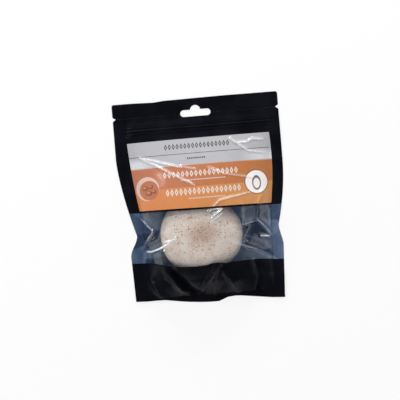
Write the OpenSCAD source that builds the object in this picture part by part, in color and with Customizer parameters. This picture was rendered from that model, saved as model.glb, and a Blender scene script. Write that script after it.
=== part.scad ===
// Konjac sponge in its flat-lying zip pouch, front up, header towards +Y.
// The origin is the middle of the pouch on the surface that it lies on.

/* [Sponge] */
// Diameter of the sponge
sponge_d = 80; // [72:1:88]
// Height of the sponge from its flat back to the top of its dome
sponge_h = 30; // [25:1:35]
// Height of the sponge's upright side below the dome
sponge_side_h = 9; // [7:0.5:11]
// Radius of the sponge's bottom edge
sponge_edge_r = 3; // [1:0.5:4]
// Distance of the sponge's centre to the left of the pouch's middle
sponge_shift = 4; // [0:0.5:6]
// Radius of the largest walnut grain
grain_r = 0.8; // [0.5:0.1:1]
// Count of walnut grains that show on the dome
grain_count = 60; // [20:1:90]

/* [Pouch] */
// Thickness of one ply of film
film_t = 0.3; // [0.2:0.05:0.4]
// Width of the side seals above the waist
seal_w = 9; // [7:0.5:11]
// Width of the side seals at the waist
waist_seal_w = 6.5; // [5:0.5:8]
// Free film at the mouth between the sponge's side and a side seal
side_room = 31.5; // [30:0.5:40]
// Film from the bottom edge to the sponge
back_room = 26.5; // [25:0.5:35]
// Film from the sponge to the top edge
front_room = 93.5; // [88:0.5:120]
// Air between the top of the sponge and the film over it
head_room = 2.2; // [1.4:0.1:3]
// Radius of the header's corners
corner_r = 2; // [1:0.5:4]

/* [Waist] */
// How far the left edge is drawn in beside the sponge
left_pinch = 14.3; // [8:0.1:16]
// How far the right edge is drawn in beside the sponge
right_pinch = 9; // [5:0.1:12]
// How far the left edge stays drawn in below the waist
left_hip = 7; // [5:0.5:8]
// How far the right edge stays drawn in below the waist
right_hip = 5.7; // [4:0.1:8]
// How far the bottom corners are drawn in
corner_draw = 8.5; // [7:0.5:10]
// Distance from the sponge's centre up to the waist
waist_lift = 4; // [0:0.5:8]
// Length over which the edges draw in above the waist
pinch_run = 63; // [50:1:70]
// Length over which the edges come back out below the waist
hip_run = 20; // [15:1:25]

/* [Window and label] */
// Distance from the sponge's centre back to the window's bottom edge
window_back = 27; // [24:0.5:30]
// Height of the clear window band
window_h = 52; // [44:1:56]
// Film between the window and the label
label_gap = 2.5; // [1.5:0.5:5]
// Film between the label and the zip track
label_top_gap = 6.3; // [4:0.1:12]
// Distance of the label's ends from the side seals
label_inset = 1.5; // [1:0.1:4]
// Thickness of the label
label_t = 0.15; // [0.1:0.05:0.3]

/* [Mouth] */
// Distance from the top edge to the tear line
tear_drop = 15.5; // [13:0.5:18]
// Height of a tear notch
notch_h = 2; // [1:0.5:3]
// Depth of a tear notch
notch_depth = 3; // [2:0.5:4]
// Distance from the top edge to the middle of the zip track
zip_drop = 28.6; // [26:0.1:32]
// Width of the zip track's two flanges
track_w = 8; // [7:0.5:9]
// Width of the zip track's rib
rib_w = 1.2; // [0.8:0.1:1.6]
// Height of the zip track's rib
rib_h = 1; // [0.8:0.1:1.4]
// Width of each jaw that closes over the rib
jaw_w = 0.8; // [0.6:0.1:1.2]
// Distance of the track's ends from the side seals
track_inset = 1; // [0.5:0.1:2]
// Width of the hang hole's slot
hole_w = 29.4; // [26:0.2:34]
// Height of the hang hole's slot
hole_h = 6.6; // [5:0.2:8]
// Radius of the hang hole's round top
hole_top_r = 5; // [4:0.2:6]
// Rise of the hang hole's round top above its slot
hole_top_rise = 4.3; // [3:0.1:5]
// Height of the hang hole's middle above the tear line
hole_lift = 0.5; // [0:0.1:1]

/* [Bottom] */
// How much further down the right corner reaches than the left one
bottom_slant = 7; // [0:0.5:9]
// Width of the flat hem along the bottom edge
hem_w = 8.5; // [6:0.5:10]
// Distance from the sponge back to the gusset's fold
fold_gap = 6.5; // [5:0.5:9]
// How far the gusset's lower leaf bows out past the hem
leaf_bow = 2.4; // [1:0.1:3]
// Width of that bow
leaf_bow_w = 56; // [40:1:70]

/* [Clearances] */
// Gap between pieces that move apart
run_gap = 0.3; // [0.2:0.05:0.4]
// Gap beside the zip track's rib
rib_gap = 0.4; // [0.3:0.05:0.5]
// Gap between the sponge and the back film
rest_gap = 0.2; // [0.1:0.05:0.3]

/* [Hidden] */

// Plan of the pouch
half_w = sponge_d / 2 + side_room + seal_w;
pouch_l = sponge_d + back_room + front_room;
top_y = pouch_l / 2;
low_y = -pouch_l / 2;
sponge_x = -sponge_shift;
sponge_y = low_y + back_room + sponge_d / 2;
sponge_back_y = sponge_y - sponge_d / 2;
waist_y = sponge_y + waist_lift;
hinge_y = sponge_y - window_back;
window_top_y = hinge_y + window_h;
zip_y = top_y - zip_drop;
track_y0 = zip_y - track_w / 2;
track_y1 = zip_y + track_w / 2;
tear_y = top_y - tear_drop;
label_y0 = window_top_y + label_gap;
label_y1 = track_y0 - label_top_gap;
panel_y1 = track_y0 - run_gap;
fold_y = sponge_back_y - fold_gap;
mid_low_y = low_y + bottom_slant / 2;

// Heights above the surface
weld_z = 2 * film_t;
edge_z = film_t + run_gap;
crown_z = film_t + rest_gap + sponge_h + head_room;
rib_top_z = weld_z + rib_h;
track_top_z = rib_top_z + run_gap;
lip_z = track_top_z + film_t;
leaf_gap = film_t;
gusset_h = 2 * film_t + leaf_gap;
overrun = 10 * film_t;

// Shape of the film over the sponge, as shares and powers
crown_share = 0.2;
front_power = 2;
ease_power = 1.3;
back_power = 2;
side_power = 2.6;
left_pinch_power = 1.4;
right_pinch_power = 1.9;
dome_power = 2.4;
grain_spread_share = 0.92;
grain_sink_share = 0.55;
grain_min_share = 0.6;
lift_run_share = 0.2;
golden_angle = 180 * (3 - sqrt(5));

// Main folds of the film beside and below the sponge: both ends from its centre
// and the fold's reach as shares of its radius, with the fold's rise between them
folds = [
    [[-1.45, 0.51], [-1.15, 0.19], 2.8, 0.2],
    [[-1.15, 0.19], [-1.4, -0.11], 3.2, 0.2],
    [[-1.4, -0.3], [-1, -0.23], 2.4, 0.18],
    [[-1, -0.23], [-0.75, -0.1], 2, 0.15],
    [[0.98, 0.58], [1, 0.2], 2.2, 0.16],
    [[1, 0.2], [1.35, 0.25], 1, 0.16],
    [[1.42, 0.55], [1.48, 0.85], 3.6, 0.18],
    [[1.38, 0.2], [1.68, -0.11], 1.2, 0.2],
    [[1.25, 0.03], [1.05, -0.2], -6, 0.22],
    [[1.05, -0.34], [1.35, -0.46], 3.2, 0.15],
    [[1.35, -0.46], [1.68, -0.61], 2.6, 0.18],
    [[-0.85, -0.93], [-0.45, -1.41], 5, 0.17],
    [[-0.66, -0.93], [-0.25, -1.36], -8, 0.17],
    [[-0.1, -1.34], [0.33, -0.81], 3.4, 0.16],
    [[0.45, -0.81], [0.45, -1.36], -5, 0.2],
    [[0.52, -0.92], [0.74, -1.41], 4.2, 0.22],
    [[1.3, -0.86], [1.3, -1.36], -5, 0.2],
    [[-1.28, -0.81], [-1.1, -1.46], 5.2, 0.25],
    [[1.58, -0.81], [1.5, -1.46], 4.6, 0.22]];
fold_power = 1.5;
fold_room = 8;
fold_fade = 6;
skirt_puff = 0.8;
puff_run = 8;

// Counts of facets
film_cols = 20;
window_rows = 13;
label_rows = 12;
skirt_rows = 12;
edge_steps = 24;
dome_steps = 14;
fold_steps = 12;

function clamp01(t) = max(0, min(1, t));
function smooth(t) = let (c = clamp01(t)) c * c * (3 - 2 * c);
function mix(a, b, t) = a + (b - a) * t;

// Distance of a side edge from the middle at height y
function edge_x(y, pinch, power, hip) =
    y > waist_y
    ? half_w - pinch * pow(clamp01((waist_y + pinch_run - y) / pinch_run), power)
    : let (hip_x = half_w - mix(pinch, hip, smooth((waist_y - y) / hip_run)),
           fall = clamp01((waist_y - hip_run - y) / (waist_y - hip_run - mid_low_y)))
      mix(hip_x, half_w - corner_draw, fall);
function left_x(y) = -edge_x(y, left_pinch, left_pinch_power, left_hip);
function right_x(y) = edge_x(y, right_pinch, right_pinch_power, right_hip);

// The free film's straight side edge runs from the waist to the mouth and on
function foot_x(y, pinch) =
    let (waist_x = half_w - pinch - waist_seal_w, mouth_x = half_w - seal_w)
    y > hinge_y
    ? mix(waist_x, mouth_x, (y - waist_y) / (tear_y - waist_y))
    : mix(mix(waist_x, mouth_x, (hinge_y - waist_y) / (tear_y - waist_y)),
          half_w - corner_draw - seal_w, (hinge_y - y) / (hinge_y - low_y));
function left_foot(y) = -foot_x(y, left_pinch);
function right_foot(y) = foot_x(y, right_pinch);

// The bottom edge slants down to the right
function bottom_y(x) = mid_low_y - bottom_slant / 2 * x / (half_w - corner_draw);
function leaf_bow_at(x) = leaf_bow * max(0, 1 - pow((x - sponge_x) * 2 / leaf_bow_w, 2));
function below_y(x, t) = mix(hinge_y, bottom_y(x), t);

// Underside of the film along the line over the sponge's centre
function crown_at(y) =
    let (front_y = sponge_y + sponge_d / 2 * crown_share,
         back_y = sponge_y - sponge_d / 2 * crown_share,
         ahead = clamp01((y - front_y) / (panel_y1 - front_y)),
         behind = clamp01((back_y - y) / (back_y - low_y - hem_w)))
    mix(lip_z, crown_z, pow(1 - pow(ahead, front_power), ease_power))
    - (crown_z - edge_z) * pow(behind, back_power);
function bow(x, y) =
    let (u = x < sponge_x ? (sponge_x - x) / (sponge_x - left_foot(y))
                          : (x - sponge_x) / (right_foot(y) - sponge_x))
    1 - pow(clamp01(u), side_power);

// Rise of the folds at a point, less where the film is low or near a side seal
function off_fold(p, f) =
    let (run = f[1] - f[0], t = clamp01((p - f[0]) * run / (run * run)))
    norm(p - f[0] - t * run) / f[3];
function fold_rise(x, y, height) =
    let (p = [x - sponge_x, y - sponge_y] / (sponge_d / 2),
         rises = [for (f = folds) f[2] * pow(max(0, 1 - off_fold(p, f)), fold_power)],
         inset = min(x - left_foot(y), right_foot(y) - x))
    rises * [for (r = rises) 1] * smooth(inset / fold_fade) * clamp01(height / fold_room);

function flap_z(x, y) =
    let (foot_z = mix(lip_z, edge_z, smooth((panel_y1 - y) / (pouch_l * lift_run_share))),
         height = (crown_at(y) - foot_z) * bow(x, y))
    foot_z + height + fold_rise(x, y, height);
function skirt_z(x, y) =
    let (base = film_t + gusset_h * smooth((sponge_back_y - y) / (fold_gap - gusset_h)),
         height = (crown_at(y) - edge_z) * bow(x, y),
         puff = skirt_puff * smooth((hinge_y - y) / puff_run) * clamp01(height / fold_room))
    base + height + puff + fold_rise(x, y, height);

// Columns of points across the free film, with one at each end of the label
function film_col(j, y) =
    let (l = left_foot(y) + label_inset, r = right_foot(y) - label_inset)
    j < 0 ? left_foot(y) : j > film_cols ? right_foot(y) : mix(l, r, j / film_cols);
function flap_row(y, first, last) =
    [for (j = [first:last]) let (x = film_col(j, y)) [x, y, flap_z(x, y)]];
function skirt_row(t) =
    let (y0 = mix(hinge_y - run_gap, mid_low_y, t),
         xs = concat([left_x(y0)], [for (j = [-1:film_cols + 1]) film_col(j, y0)], [right_x(y0)]))
    [for (x = xs) let (y = mix(hinge_y - run_gap, bottom_y(x), t)) [x, y, skirt_z(x, y)]];

// A sheet of film of thickness t whose underside passes through rows of points
module film_sheet(rows, t) {
    m = len(rows);
    n = len(rows[0]);
    under = [for (r = rows) for (p = r) p];
    over = [for (p = under) p + [0, 0, t]];
    s = m * n;
    polyhedron(concat(under, over), concat(
        [for (i = [0:m - 2]) for (j = [0:n - 2]) let (a = i * n + j, b = a + n) each [
            [s + a, s + b, s + b + 1], [s + a, s + b + 1, s + a + 1],
            [a, b + 1, b], [a, a + 1, b + 1]]],
        [for (j = [0:n - 2]) let (b = (m - 1) * n + j) each [
            [j, s + j, s + j + 1], [j, s + j + 1, j + 1],
            [b + 1, s + b + 1, s + b], [b + 1, s + b, b]]],
        [for (i = [0:m - 2]) let (a = i * n, b = a + n, c = a + n - 1, d = c + n) each [
            [b, s + b, s + a], [b, s + a, a],
            [c, s + c, s + d], [c, s + d, d]]]));
}

// A flat plate from a list of plan points
module plate(points, z, t) {
    translate([0, 0, z]) linear_extrude(height = t) polygon(points);
}

// A profile in Y and Z, drawn out along X
module run_x(x0, x1) {
    translate([x0, 0, 0]) rotate([90, 0, 90]) linear_extrude(height = x1 - x0) children();
}

// Plan points up the left side and down the right side between two heights
function left_side(y0, y1) = [for (i = [0:edge_steps]) let (y = mix(y0, y1, i / edge_steps)) [left_x(y), y]];
function right_side(y0, y1) = [for (i = [0:edge_steps]) let (y = mix(y1, y0, i / edge_steps)) [right_x(y), y]];

// Plan of the film below the hinge line, bowed out by a share of the leaf's bow
function lower_left(t) = let (x = left_x(mix(hinge_y, mid_low_y, t))) [x, below_y(x, t)];
function lower_right(t) = let (x = right_x(mix(hinge_y, mid_low_y, t))) [x, below_y(x, t)];
function bottom_edge(bowed) =
    let (a = lower_right(1)[0], b = lower_left(1)[0])
    [for (i = [0:edge_steps]) let (x = mix(a, b, i / edge_steps)) [x, bottom_y(x) - bowed * leaf_bow_at(x)]];
function lower_plan(bowed) = concat(
    [for (i = [0:edge_steps]) lower_right(i / edge_steps)], bottom_edge(bowed),
    [for (i = [edge_steps:-1:0]) lower_left(i / edge_steps)]);

// The tear notches, one in each side edge on the tear line
module notches() {
    for (side = [-1, 1])
        translate([side * half_w, tear_y, -overrun])
            linear_extrude(height = weld_z + 2 * overrun)
                polygon([[side * overrun, -notch_h], [-side * notch_depth, 0], [side * overrun, notch_h]]);
}

// The hang hole: a round-ended slot with a round top in its middle
module hang_hole() {
    straight = hole_w / 2 - hole_h / 2;
    top_y0 = hole_h / 2 + hole_top_rise - hole_top_r;
    translate([0, tear_y + hole_lift, -overrun]) linear_extrude(height = lip_z + 2 * overrun) {
        translate([-straight, -hole_h / 2]) square([2 * straight, hole_h]);
        for (side = [-1, 1]) translate([side * straight, 0]) circle(d = hole_h, $fn = 48);
        translate([0, top_y0]) circle(r = hole_top_r, $fn = 48);
    }
}

// One ply of the header above the tear line, with round top corners
module header_ply(z) {
    y0 = tear_y + run_gap / 2;
    difference() {
        translate([0, 0, z]) linear_extrude(height = film_t) {
            translate([-half_w, y0]) square([2 * half_w, top_y - corner_r - y0]);
            translate([corner_r - half_w, y0]) square([2 * (half_w - corner_r), top_y - y0]);
            for (side = [-1, 1])
                translate([side * (half_w - corner_r), top_y - corner_r]) circle(r = corner_r, $fn = 48);
        }
        hang_hole();
        notches();
    }
}

// A welded strip between a side edge and the free film
function seal_left(y0, y1) = concat(left_side(y0, y1),
    [[left_foot(y1) - run_gap, y1], [left_foot(y0) - run_gap, y0]]);
function seal_right(y0, y1) = concat(right_side(y0, y1),
    [[right_foot(y0) + run_gap, y0], [right_foot(y1) + run_gap, y1]]);

module back_film() {
    y1 = tear_y - run_gap / 2;
    color([0.07, 0.08, 0.1]) difference() {
        plate(concat(left_side(hinge_y, y1), right_side(hinge_y, y1), lower_plan(1)), 0, film_t);
        hang_hole();
        notches();
    }
}

module left_seal_upper() {
    color([0.08, 0.08, 0.1]) difference() {
        plate(seal_left(window_top_y, tear_y - run_gap / 2), film_t, film_t);
        notches();
    }
}

module right_seal_upper() {
    color([0.08, 0.08, 0.1]) difference() {
        plate(seal_right(window_top_y, tear_y - run_gap / 2), film_t, film_t);
        notches();
    }
}

module left_seal_window() {
    color([0.35, 0.42, 0.5]) plate(seal_left(hinge_y, window_top_y), film_t, film_t);
}

module right_seal_window() {
    color([0.35, 0.42, 0.5]) plate(seal_right(hinge_y, window_top_y), film_t, film_t);
}

module front_skirt() {
    color([0.07, 0.07, 0.09])
        film_sheet([for (i = [skirt_rows:-1:0]) skirt_row(i / skirt_rows)], film_t);
}

// The gusset is one ply folded back on itself inside the bottom
function fold_turn(r, i) =
    let (a = 180 * i / fold_steps - 90)
    [fold_y + r * cos(a), film_t + gusset_h / 2 + r * sin(a)];

module bottom_gusset() {
    mid_z = film_t + gusset_h / 2;
    end_y = 2 * low_y;
    profile = concat(
        [[end_y, film_t]], [for (i = [0:fold_steps]) fold_turn(gusset_h / 2, i)],
        [[end_y, film_t + gusset_h], [end_y, mid_z + leaf_gap / 2]],
        [for (i = [fold_steps:-1:0]) fold_turn(leaf_gap / 2, i)], [[end_y, mid_z - leaf_gap / 2]]);
    color([0.1, 0.1, 0.12]) intersection() {
        run_x(-half_w, half_w) polygon(profile);
        union() {
            plate(lower_plan(1), 0, mid_z + leaf_gap / 4);
            plate(lower_plan(0), mid_z - leaf_gap / 4, gusset_h);
        }
    }
}

module zip_back_track() {
    color([0.14, 0.14, 0.17]) run_x(left_foot(track_y0) + track_inset, right_foot(track_y0) - track_inset) {
        translate([track_y0, film_t]) square([track_w, film_t]);
        translate([zip_y - rib_w / 2, weld_z]) square([rib_w, rib_h]);
    }
}

module zip_front_track() {
    color([0.16, 0.16, 0.19]) run_x(left_foot(track_y0) + track_inset, right_foot(track_y0) - track_inset) {
        translate([track_y0, track_top_z]) square([track_w, film_t]);
        for (side = [-1, 1])
            translate([zip_y + side * (rib_w / 2 + rib_gap + jaw_w / 2) - jaw_w / 2, weld_z + run_gap])
                square([jaw_w, rib_h]);
    }
}

module front_panel() {
    ys = concat([window_top_y], [for (i = [0:label_rows]) mix(label_y0, label_y1, i / label_rows)], [panel_y1]);
    color([0.06, 0.06, 0.08]) film_sheet([for (y = ys) flap_row(y, -1, film_cols + 1)], film_t);
}

module front_window() {
    color([0.45, 0.55, 0.65, 0.4])
        film_sheet([for (i = [0:window_rows])
            flap_row(mix(hinge_y, window_top_y, i / window_rows), -1, film_cols + 1)], film_t);
}

module front_label() {
    color([0.85, 0.6, 0.42]) translate([0, 0, film_t])
        film_sheet([for (i = [0:label_rows])
            flap_row(mix(label_y0, label_y1, i / label_rows), 0, film_cols)], label_t);
}

// The film over the zip track and up to the tear line, flat across its width
module front_lip() {
    y1 = tear_y - run_gap / 2;
    ramp_y = mix(track_y1, y1, 1 / 2);
    under = [[panel_y1, lip_z], [track_y1 + run_gap, lip_z], [ramp_y, edge_z], [y1, edge_z]];
    over = [for (i = [len(under) - 1:-1:0]) under[i] + [0, film_t]];
    color([0.08, 0.08, 0.1]) difference() {
        intersection() {
            run_x(left_foot(y1), right_foot(y1)) polygon(concat(under, over));
            plate([[left_foot(panel_y1), panel_y1], [left_foot(y1), y1],
                   [right_foot(y1), y1], [right_foot(panel_y1), panel_y1]], 0, lip_z + overrun);
        }
        hang_hole();
    }
}

module header_back_ply() {
    color([0.05, 0.06, 0.08]) header_ply(0);
}

module header_front_ply() {
    color([0.06, 0.06, 0.09]) header_ply(film_t);
}

// Height of the dome above the sponge's flat back at a share of its radius
function dome_h(share) =
    sponge_side_h + (sponge_h - sponge_side_h) * sqrt(1 - pow(share, dome_power));

module sponge() {
    r = sponge_d / 2;
    heel = [for (i = [0:4]) let (a = 90 * i / 4)
        [r - sponge_edge_r * (1 - sin(a)), sponge_edge_r * (1 - cos(a))]];
    dome = [for (i = [0:dome_steps - 1]) let (share = pow(cos(90 * i / dome_steps), 2 / dome_power))
        [r * share, dome_h(share)]];
    color([0.85, 0.8, 0.75]) translate([sponge_x, sponge_y, film_t + rest_gap])
        rotate_extrude($fn = 96) polygon(concat([[0, 0]], heel, dome, [[0, sponge_h]]));
}

// Grains on a sunflower spiral over the dome, each sunk partly into it
module walnut_grains() {
    color([0.5, 0.35, 0.25]) for (i = [1:grain_count]) {
        share = grain_spread_share * sqrt(i / grain_count);
        r = grain_r * mix(grain_min_share, 1, (i % 5) / 4);
        h = dome_h(share) - grain_sink_share * r;
        translate([sponge_x, sponge_y, film_t + rest_gap])
            rotate(i * golden_angle) translate([share * sponge_d / 2, 0, h]) sphere(r = r, $fn = 16);
    }
}

back_film();
left_seal_upper();
right_seal_upper();
left_seal_window();
right_seal_window();
front_skirt();
bottom_gusset();
zip_back_track();
front_panel();
front_window();
front_lip();
front_label();
zip_front_track();
header_back_ply();
header_front_ply();
sponge();
walnut_grains();
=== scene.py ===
"""Looks of a konjac sponge in its zip pouch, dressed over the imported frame.

The pouch lies on its back with the header towards +Y. Film is worked out in
millimetres, in the frame's own axes, and turned to metres when a mesh is made.
"""

import logging
import math
from collections.abc import Callable, Sequence
from dataclasses import dataclass, field
from enum import Enum
from typing import Any, ClassVar

import bpy
import numpy as np
from mathutils.geometry import delaunay_2d_cdt
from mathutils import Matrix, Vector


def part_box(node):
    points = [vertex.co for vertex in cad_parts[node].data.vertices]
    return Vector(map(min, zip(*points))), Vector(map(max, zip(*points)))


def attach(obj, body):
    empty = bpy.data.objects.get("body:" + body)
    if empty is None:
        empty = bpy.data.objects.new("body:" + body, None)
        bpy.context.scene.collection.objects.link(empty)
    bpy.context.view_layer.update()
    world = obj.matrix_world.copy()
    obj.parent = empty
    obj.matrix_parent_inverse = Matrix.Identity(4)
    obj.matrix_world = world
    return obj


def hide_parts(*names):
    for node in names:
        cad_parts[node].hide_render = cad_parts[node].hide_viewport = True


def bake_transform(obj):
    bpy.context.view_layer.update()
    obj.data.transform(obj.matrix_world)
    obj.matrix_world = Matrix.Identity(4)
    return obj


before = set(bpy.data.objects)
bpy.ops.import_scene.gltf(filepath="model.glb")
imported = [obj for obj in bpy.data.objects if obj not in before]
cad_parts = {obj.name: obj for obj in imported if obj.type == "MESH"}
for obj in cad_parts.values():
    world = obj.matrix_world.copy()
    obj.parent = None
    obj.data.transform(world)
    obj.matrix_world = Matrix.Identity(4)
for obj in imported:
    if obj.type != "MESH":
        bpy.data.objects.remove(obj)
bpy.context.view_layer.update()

MM = 0.001
MAP_MM = 200.0
Array = np.ndarray
Point = tuple[float, float]
Peak = tuple[float, float, float]
Colour = tuple[float, float, float]
EdgeLine = Callable[[Array], Array]
Pair = tuple[Array, Array]
Step = tuple[int, int]
Piece = bpy.types.Object
Material = bpy.types.Material
Node = bpy.types.Node
Settings = dict[str, Any] | None
Sockets = dict[str | int, Any] | None
TINY = 1e-9
WHITE = (1.0, 1.0, 1.0)
log = logging.getLogger("konjac_sponge")


class Side(Enum):
    """The two side edges of the pouch, as the sign of X."""

    LEFT = -1
    RIGHT = 1


class Body(str, Enum):
    """The frame's moving bodies."""

    POUCH = "pouch"
    FLAP = "front_flap"
    TEAR = "tear_strip"
    SPONGE = "sponge"


def clamp01(values: Array) -> Array:
    """Returns the values held between 0 and 1."""
    return np.clip(values, 0.0, 1.0)


def smooth(values: Array) -> Array:
    """Returns a soft step from 0 to 1 as the values go from 0 to 1."""
    share = clamp01(values)
    return share * share * (3 - 2 * share)


def mix(low: Any, high: Any, share: Any) -> Any:
    """Returns the value a share of the way from low to high."""
    return low + (high - low) * share


def arch(offset: Any) -> Any:
    """Returns a parabola that is 1 at an offset of 0, and 0 from 1 on."""
    return np.maximum(0.0, 1 - offset**2)


def srgb(red: int, green: int, blue: int) -> Colour:
    """Turns a screen colour into a linear one.

    Args:
        red: Red, 0 to 255.
        green: Green, 0 to 255.
        blue: Blue, 0 to 255.

    Returns:
        The linear colour.
    """

    def linear(level: int) -> float:
        """Returns one channel as linear light."""
        share = level / 255
        return share / 12.92 if share <= 0.04045 else ((share + 0.055) / 1.055) ** 2.4

    return linear(red), linear(green), linear(blue)


@dataclass(frozen=True)
class SideShape:
    """How one side edge of the pouch is drawn in beside the sponge."""

    pinch: float
    power: float
    hip: float
    run: float


@dataclass(frozen=True)
class FilmLine:
    """A line across the film, such as the edge of the window."""

    left_y: float
    right_y: float
    humps: tuple[Peak, ...] = ()
    reach: float = 72.0

    def at(self, x: Array) -> Array:
        """Works out where the line runs.

        Args:
            x: Places across the pouch.

        Returns:
            The line's Y at each place.
        """
        y = mix(self.left_y, self.right_y, (x + self.reach) / (2 * self.reach))
        for centre, half, rise in self.humps:
            y = y + rise * arch((x - centre) / half)
        return y


@dataclass(frozen=True)
class PouchPlan:
    """The pouch seen from above, in millimetres.

    The sizes are the part's own. Only the tucks of the bottom edge and the run of
    the left side follow the photograph more closely than the solids do.
    """

    half_w: float = 80.5
    top_y: float = 100.0
    low_y: float = -100.0
    corner_r: float = 2.0
    waist_y: float = -29.5
    hip_run: float = 20.0
    corner_draw: float = 8.5
    bottom_slant: float = 7.0
    leaf_bow: float = 2.4
    leaf_bow_w: float = 56.0
    leaf_tucks: tuple[Point, ...] = (
        (-64, 0.2), (-50, 1.2), (-42, 0.4), (-32, -0.7), (-14, 0.0),
        (8, 0.0), (17, 2.9), (30, 2.7), (60, 0.0),
    )
    seal_w: float = 9.0
    waist_seal_w: float = 6.5
    hinge_y: float = -60.5
    panel_y1: float = 67.1
    zip_y: float = 71.4
    tear_y: float = 84.5
    notch_h: float = 2.0
    notch_depth: float = 3.0
    left: SideShape = SideShape(14.3, 1.5, 7.0, 75.0)
    right: SideShape = SideShape(9.0, 1.9, 5.7, 63.0)

    @property
    def mid_low_y(self) -> float:
        """The bottom edge's Y in the middle."""
        return self.low_y + self.bottom_slant / 2

    def shape(self, side: Side) -> SideShape:
        """Returns how one side is drawn in."""
        return self.left if side is Side.LEFT else self.right

    def edge(self, y: Array, side: Side, notched: bool = False) -> Array:
        """Works out the X of a side edge.

        Args:
            y: Heights along the pouch.
            side: Which edge.
            notched: Whether the tear notch is cut out of it.

        Returns:
            The edge's X at each height.
        """
        shape = self.shape(side)
        pinched = clamp01((self.waist_y + shape.run - y) / shape.run)
        upper = self.half_w - shape.pinch * pinched**shape.power
        hip_y = self.waist_y - self.hip_run
        widen = smooth((self.waist_y - y) / self.hip_run)
        hip = self.half_w - mix(shape.pinch, shape.hip, widen)
        fall = clamp01((hip_y - y) / (hip_y - self.mid_low_y))
        lower = mix(hip, self.half_w - self.corner_draw, fall)
        reach = np.where(y > self.waist_y, upper, lower)
        if notched:
            cut = np.maximum(0.0, 1 - np.abs(y - self.tear_y) / self.notch_h)
            reach = reach - self.notch_depth * cut
        return side.value * reach

    def foot(self, y: Array, side: Side) -> Array:
        """Works out where the free film meets a side seal.

        Args:
            y: Heights along the pouch.
            side: Which seal.

        Returns:
            The X at each height.
        """
        pinch = self.shape(side).pinch
        waist_x = self.half_w - pinch - self.waist_seal_w
        mouth_x = self.half_w - self.seal_w
        slope = (mouth_x - waist_x) / (self.tear_y - self.waist_y)
        upper = waist_x + slope * (y - self.waist_y)
        hinge_x = waist_x + slope * (self.hinge_y - self.waist_y)
        fall = (self.hinge_y - y) / (self.hinge_y - self.low_y)
        lower = mix(hinge_x, self.half_w - self.corner_draw - self.seal_w, fall)
        return side.value * np.where(y > self.hinge_y, upper, lower)

    def feet(self, y: Array) -> Pair:
        """Returns the X of the left and of the right foot."""
        return self.foot(y, Side.LEFT), self.foot(y, Side.RIGHT)

    def leaf_y(self, x: Array, centre: float) -> Array:
        """Works out the back film's bottom edge.

        Args:
            x: Places across the pouch.
            centre: The sponge's X, where the film bows out behind it.

        Returns:
            The edge's Y at each place, drawn up where the film is tucked.
        """
        slant = self.bottom_slant / 2 * x / (self.half_w - self.corner_draw)
        line = self.mid_low_y - slant
        bow = arch((x - centre) * 2 / self.leaf_bow_w)
        return line - self.leaf_bow * bow + np.interp(x, *zip(*self.leaf_tucks))


PLAN = PouchPlan()
BOTTOM = FilmLine(-93.0, -100.0, ((0.0, 60.0, 2.2), (-27.0, 15.0, 3.0), (32.0, 34.0, 1.5)))
LEAF_FOOT = FilmLine(-93.0, -100.0)
SKIRT_TOP = FilmLine(-56.0, -63.0, ((-14.0, 36.0, -3.0), (42.0, 24.0, 1.5), (8.0, 9.0, 1.6)))
WINDOW_TOP = FilmLine(-7.5, -9.7)
LABEL_LOW = FilmLine(-5.7, -7.9)
LABEL_HIGH = FilmLine(60.1, 60.4)
PANEL_TOP = FilmLine(PLAN.panel_y1, PLAN.panel_y1)
TEAR = FilmLine(PLAN.tear_y - 0.05, PLAN.tear_y - 0.05)


def bell(values: Array, centre: float, half: float) -> Array:
    """Returns a bell curve that is 1 at its centre."""
    return np.exp(-(((values - centre) / half) ** 2))


def ripple(turn: Array) -> Array:
    """Returns a wave between 0 and 1."""
    return 0.5 + 0.5 * np.sin(turn)


def off_line(points: Sequence[Point], x: Array, y: Array) -> Array:
    """Works out how far plan points lie from a line.

    Args:
        points: The line's corners.
        x: Plan X.
        y: Plan Y.

    Returns:
        Distance of each plan point from the nearest part of the line.
    """
    away = np.full(np.shape(x), np.inf)
    for (ax, ay), (bx, by) in zip(points, points[1:]):
        dx, dy = bx - ax, by - ay
        along = clamp01(((x - ax) * dx + (y - ay) * dy) / (dx * dx + dy * dy))
        away = np.minimum(away, np.hypot(x - ax - along * dx, y - ay - along * dy))
    return away


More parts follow.
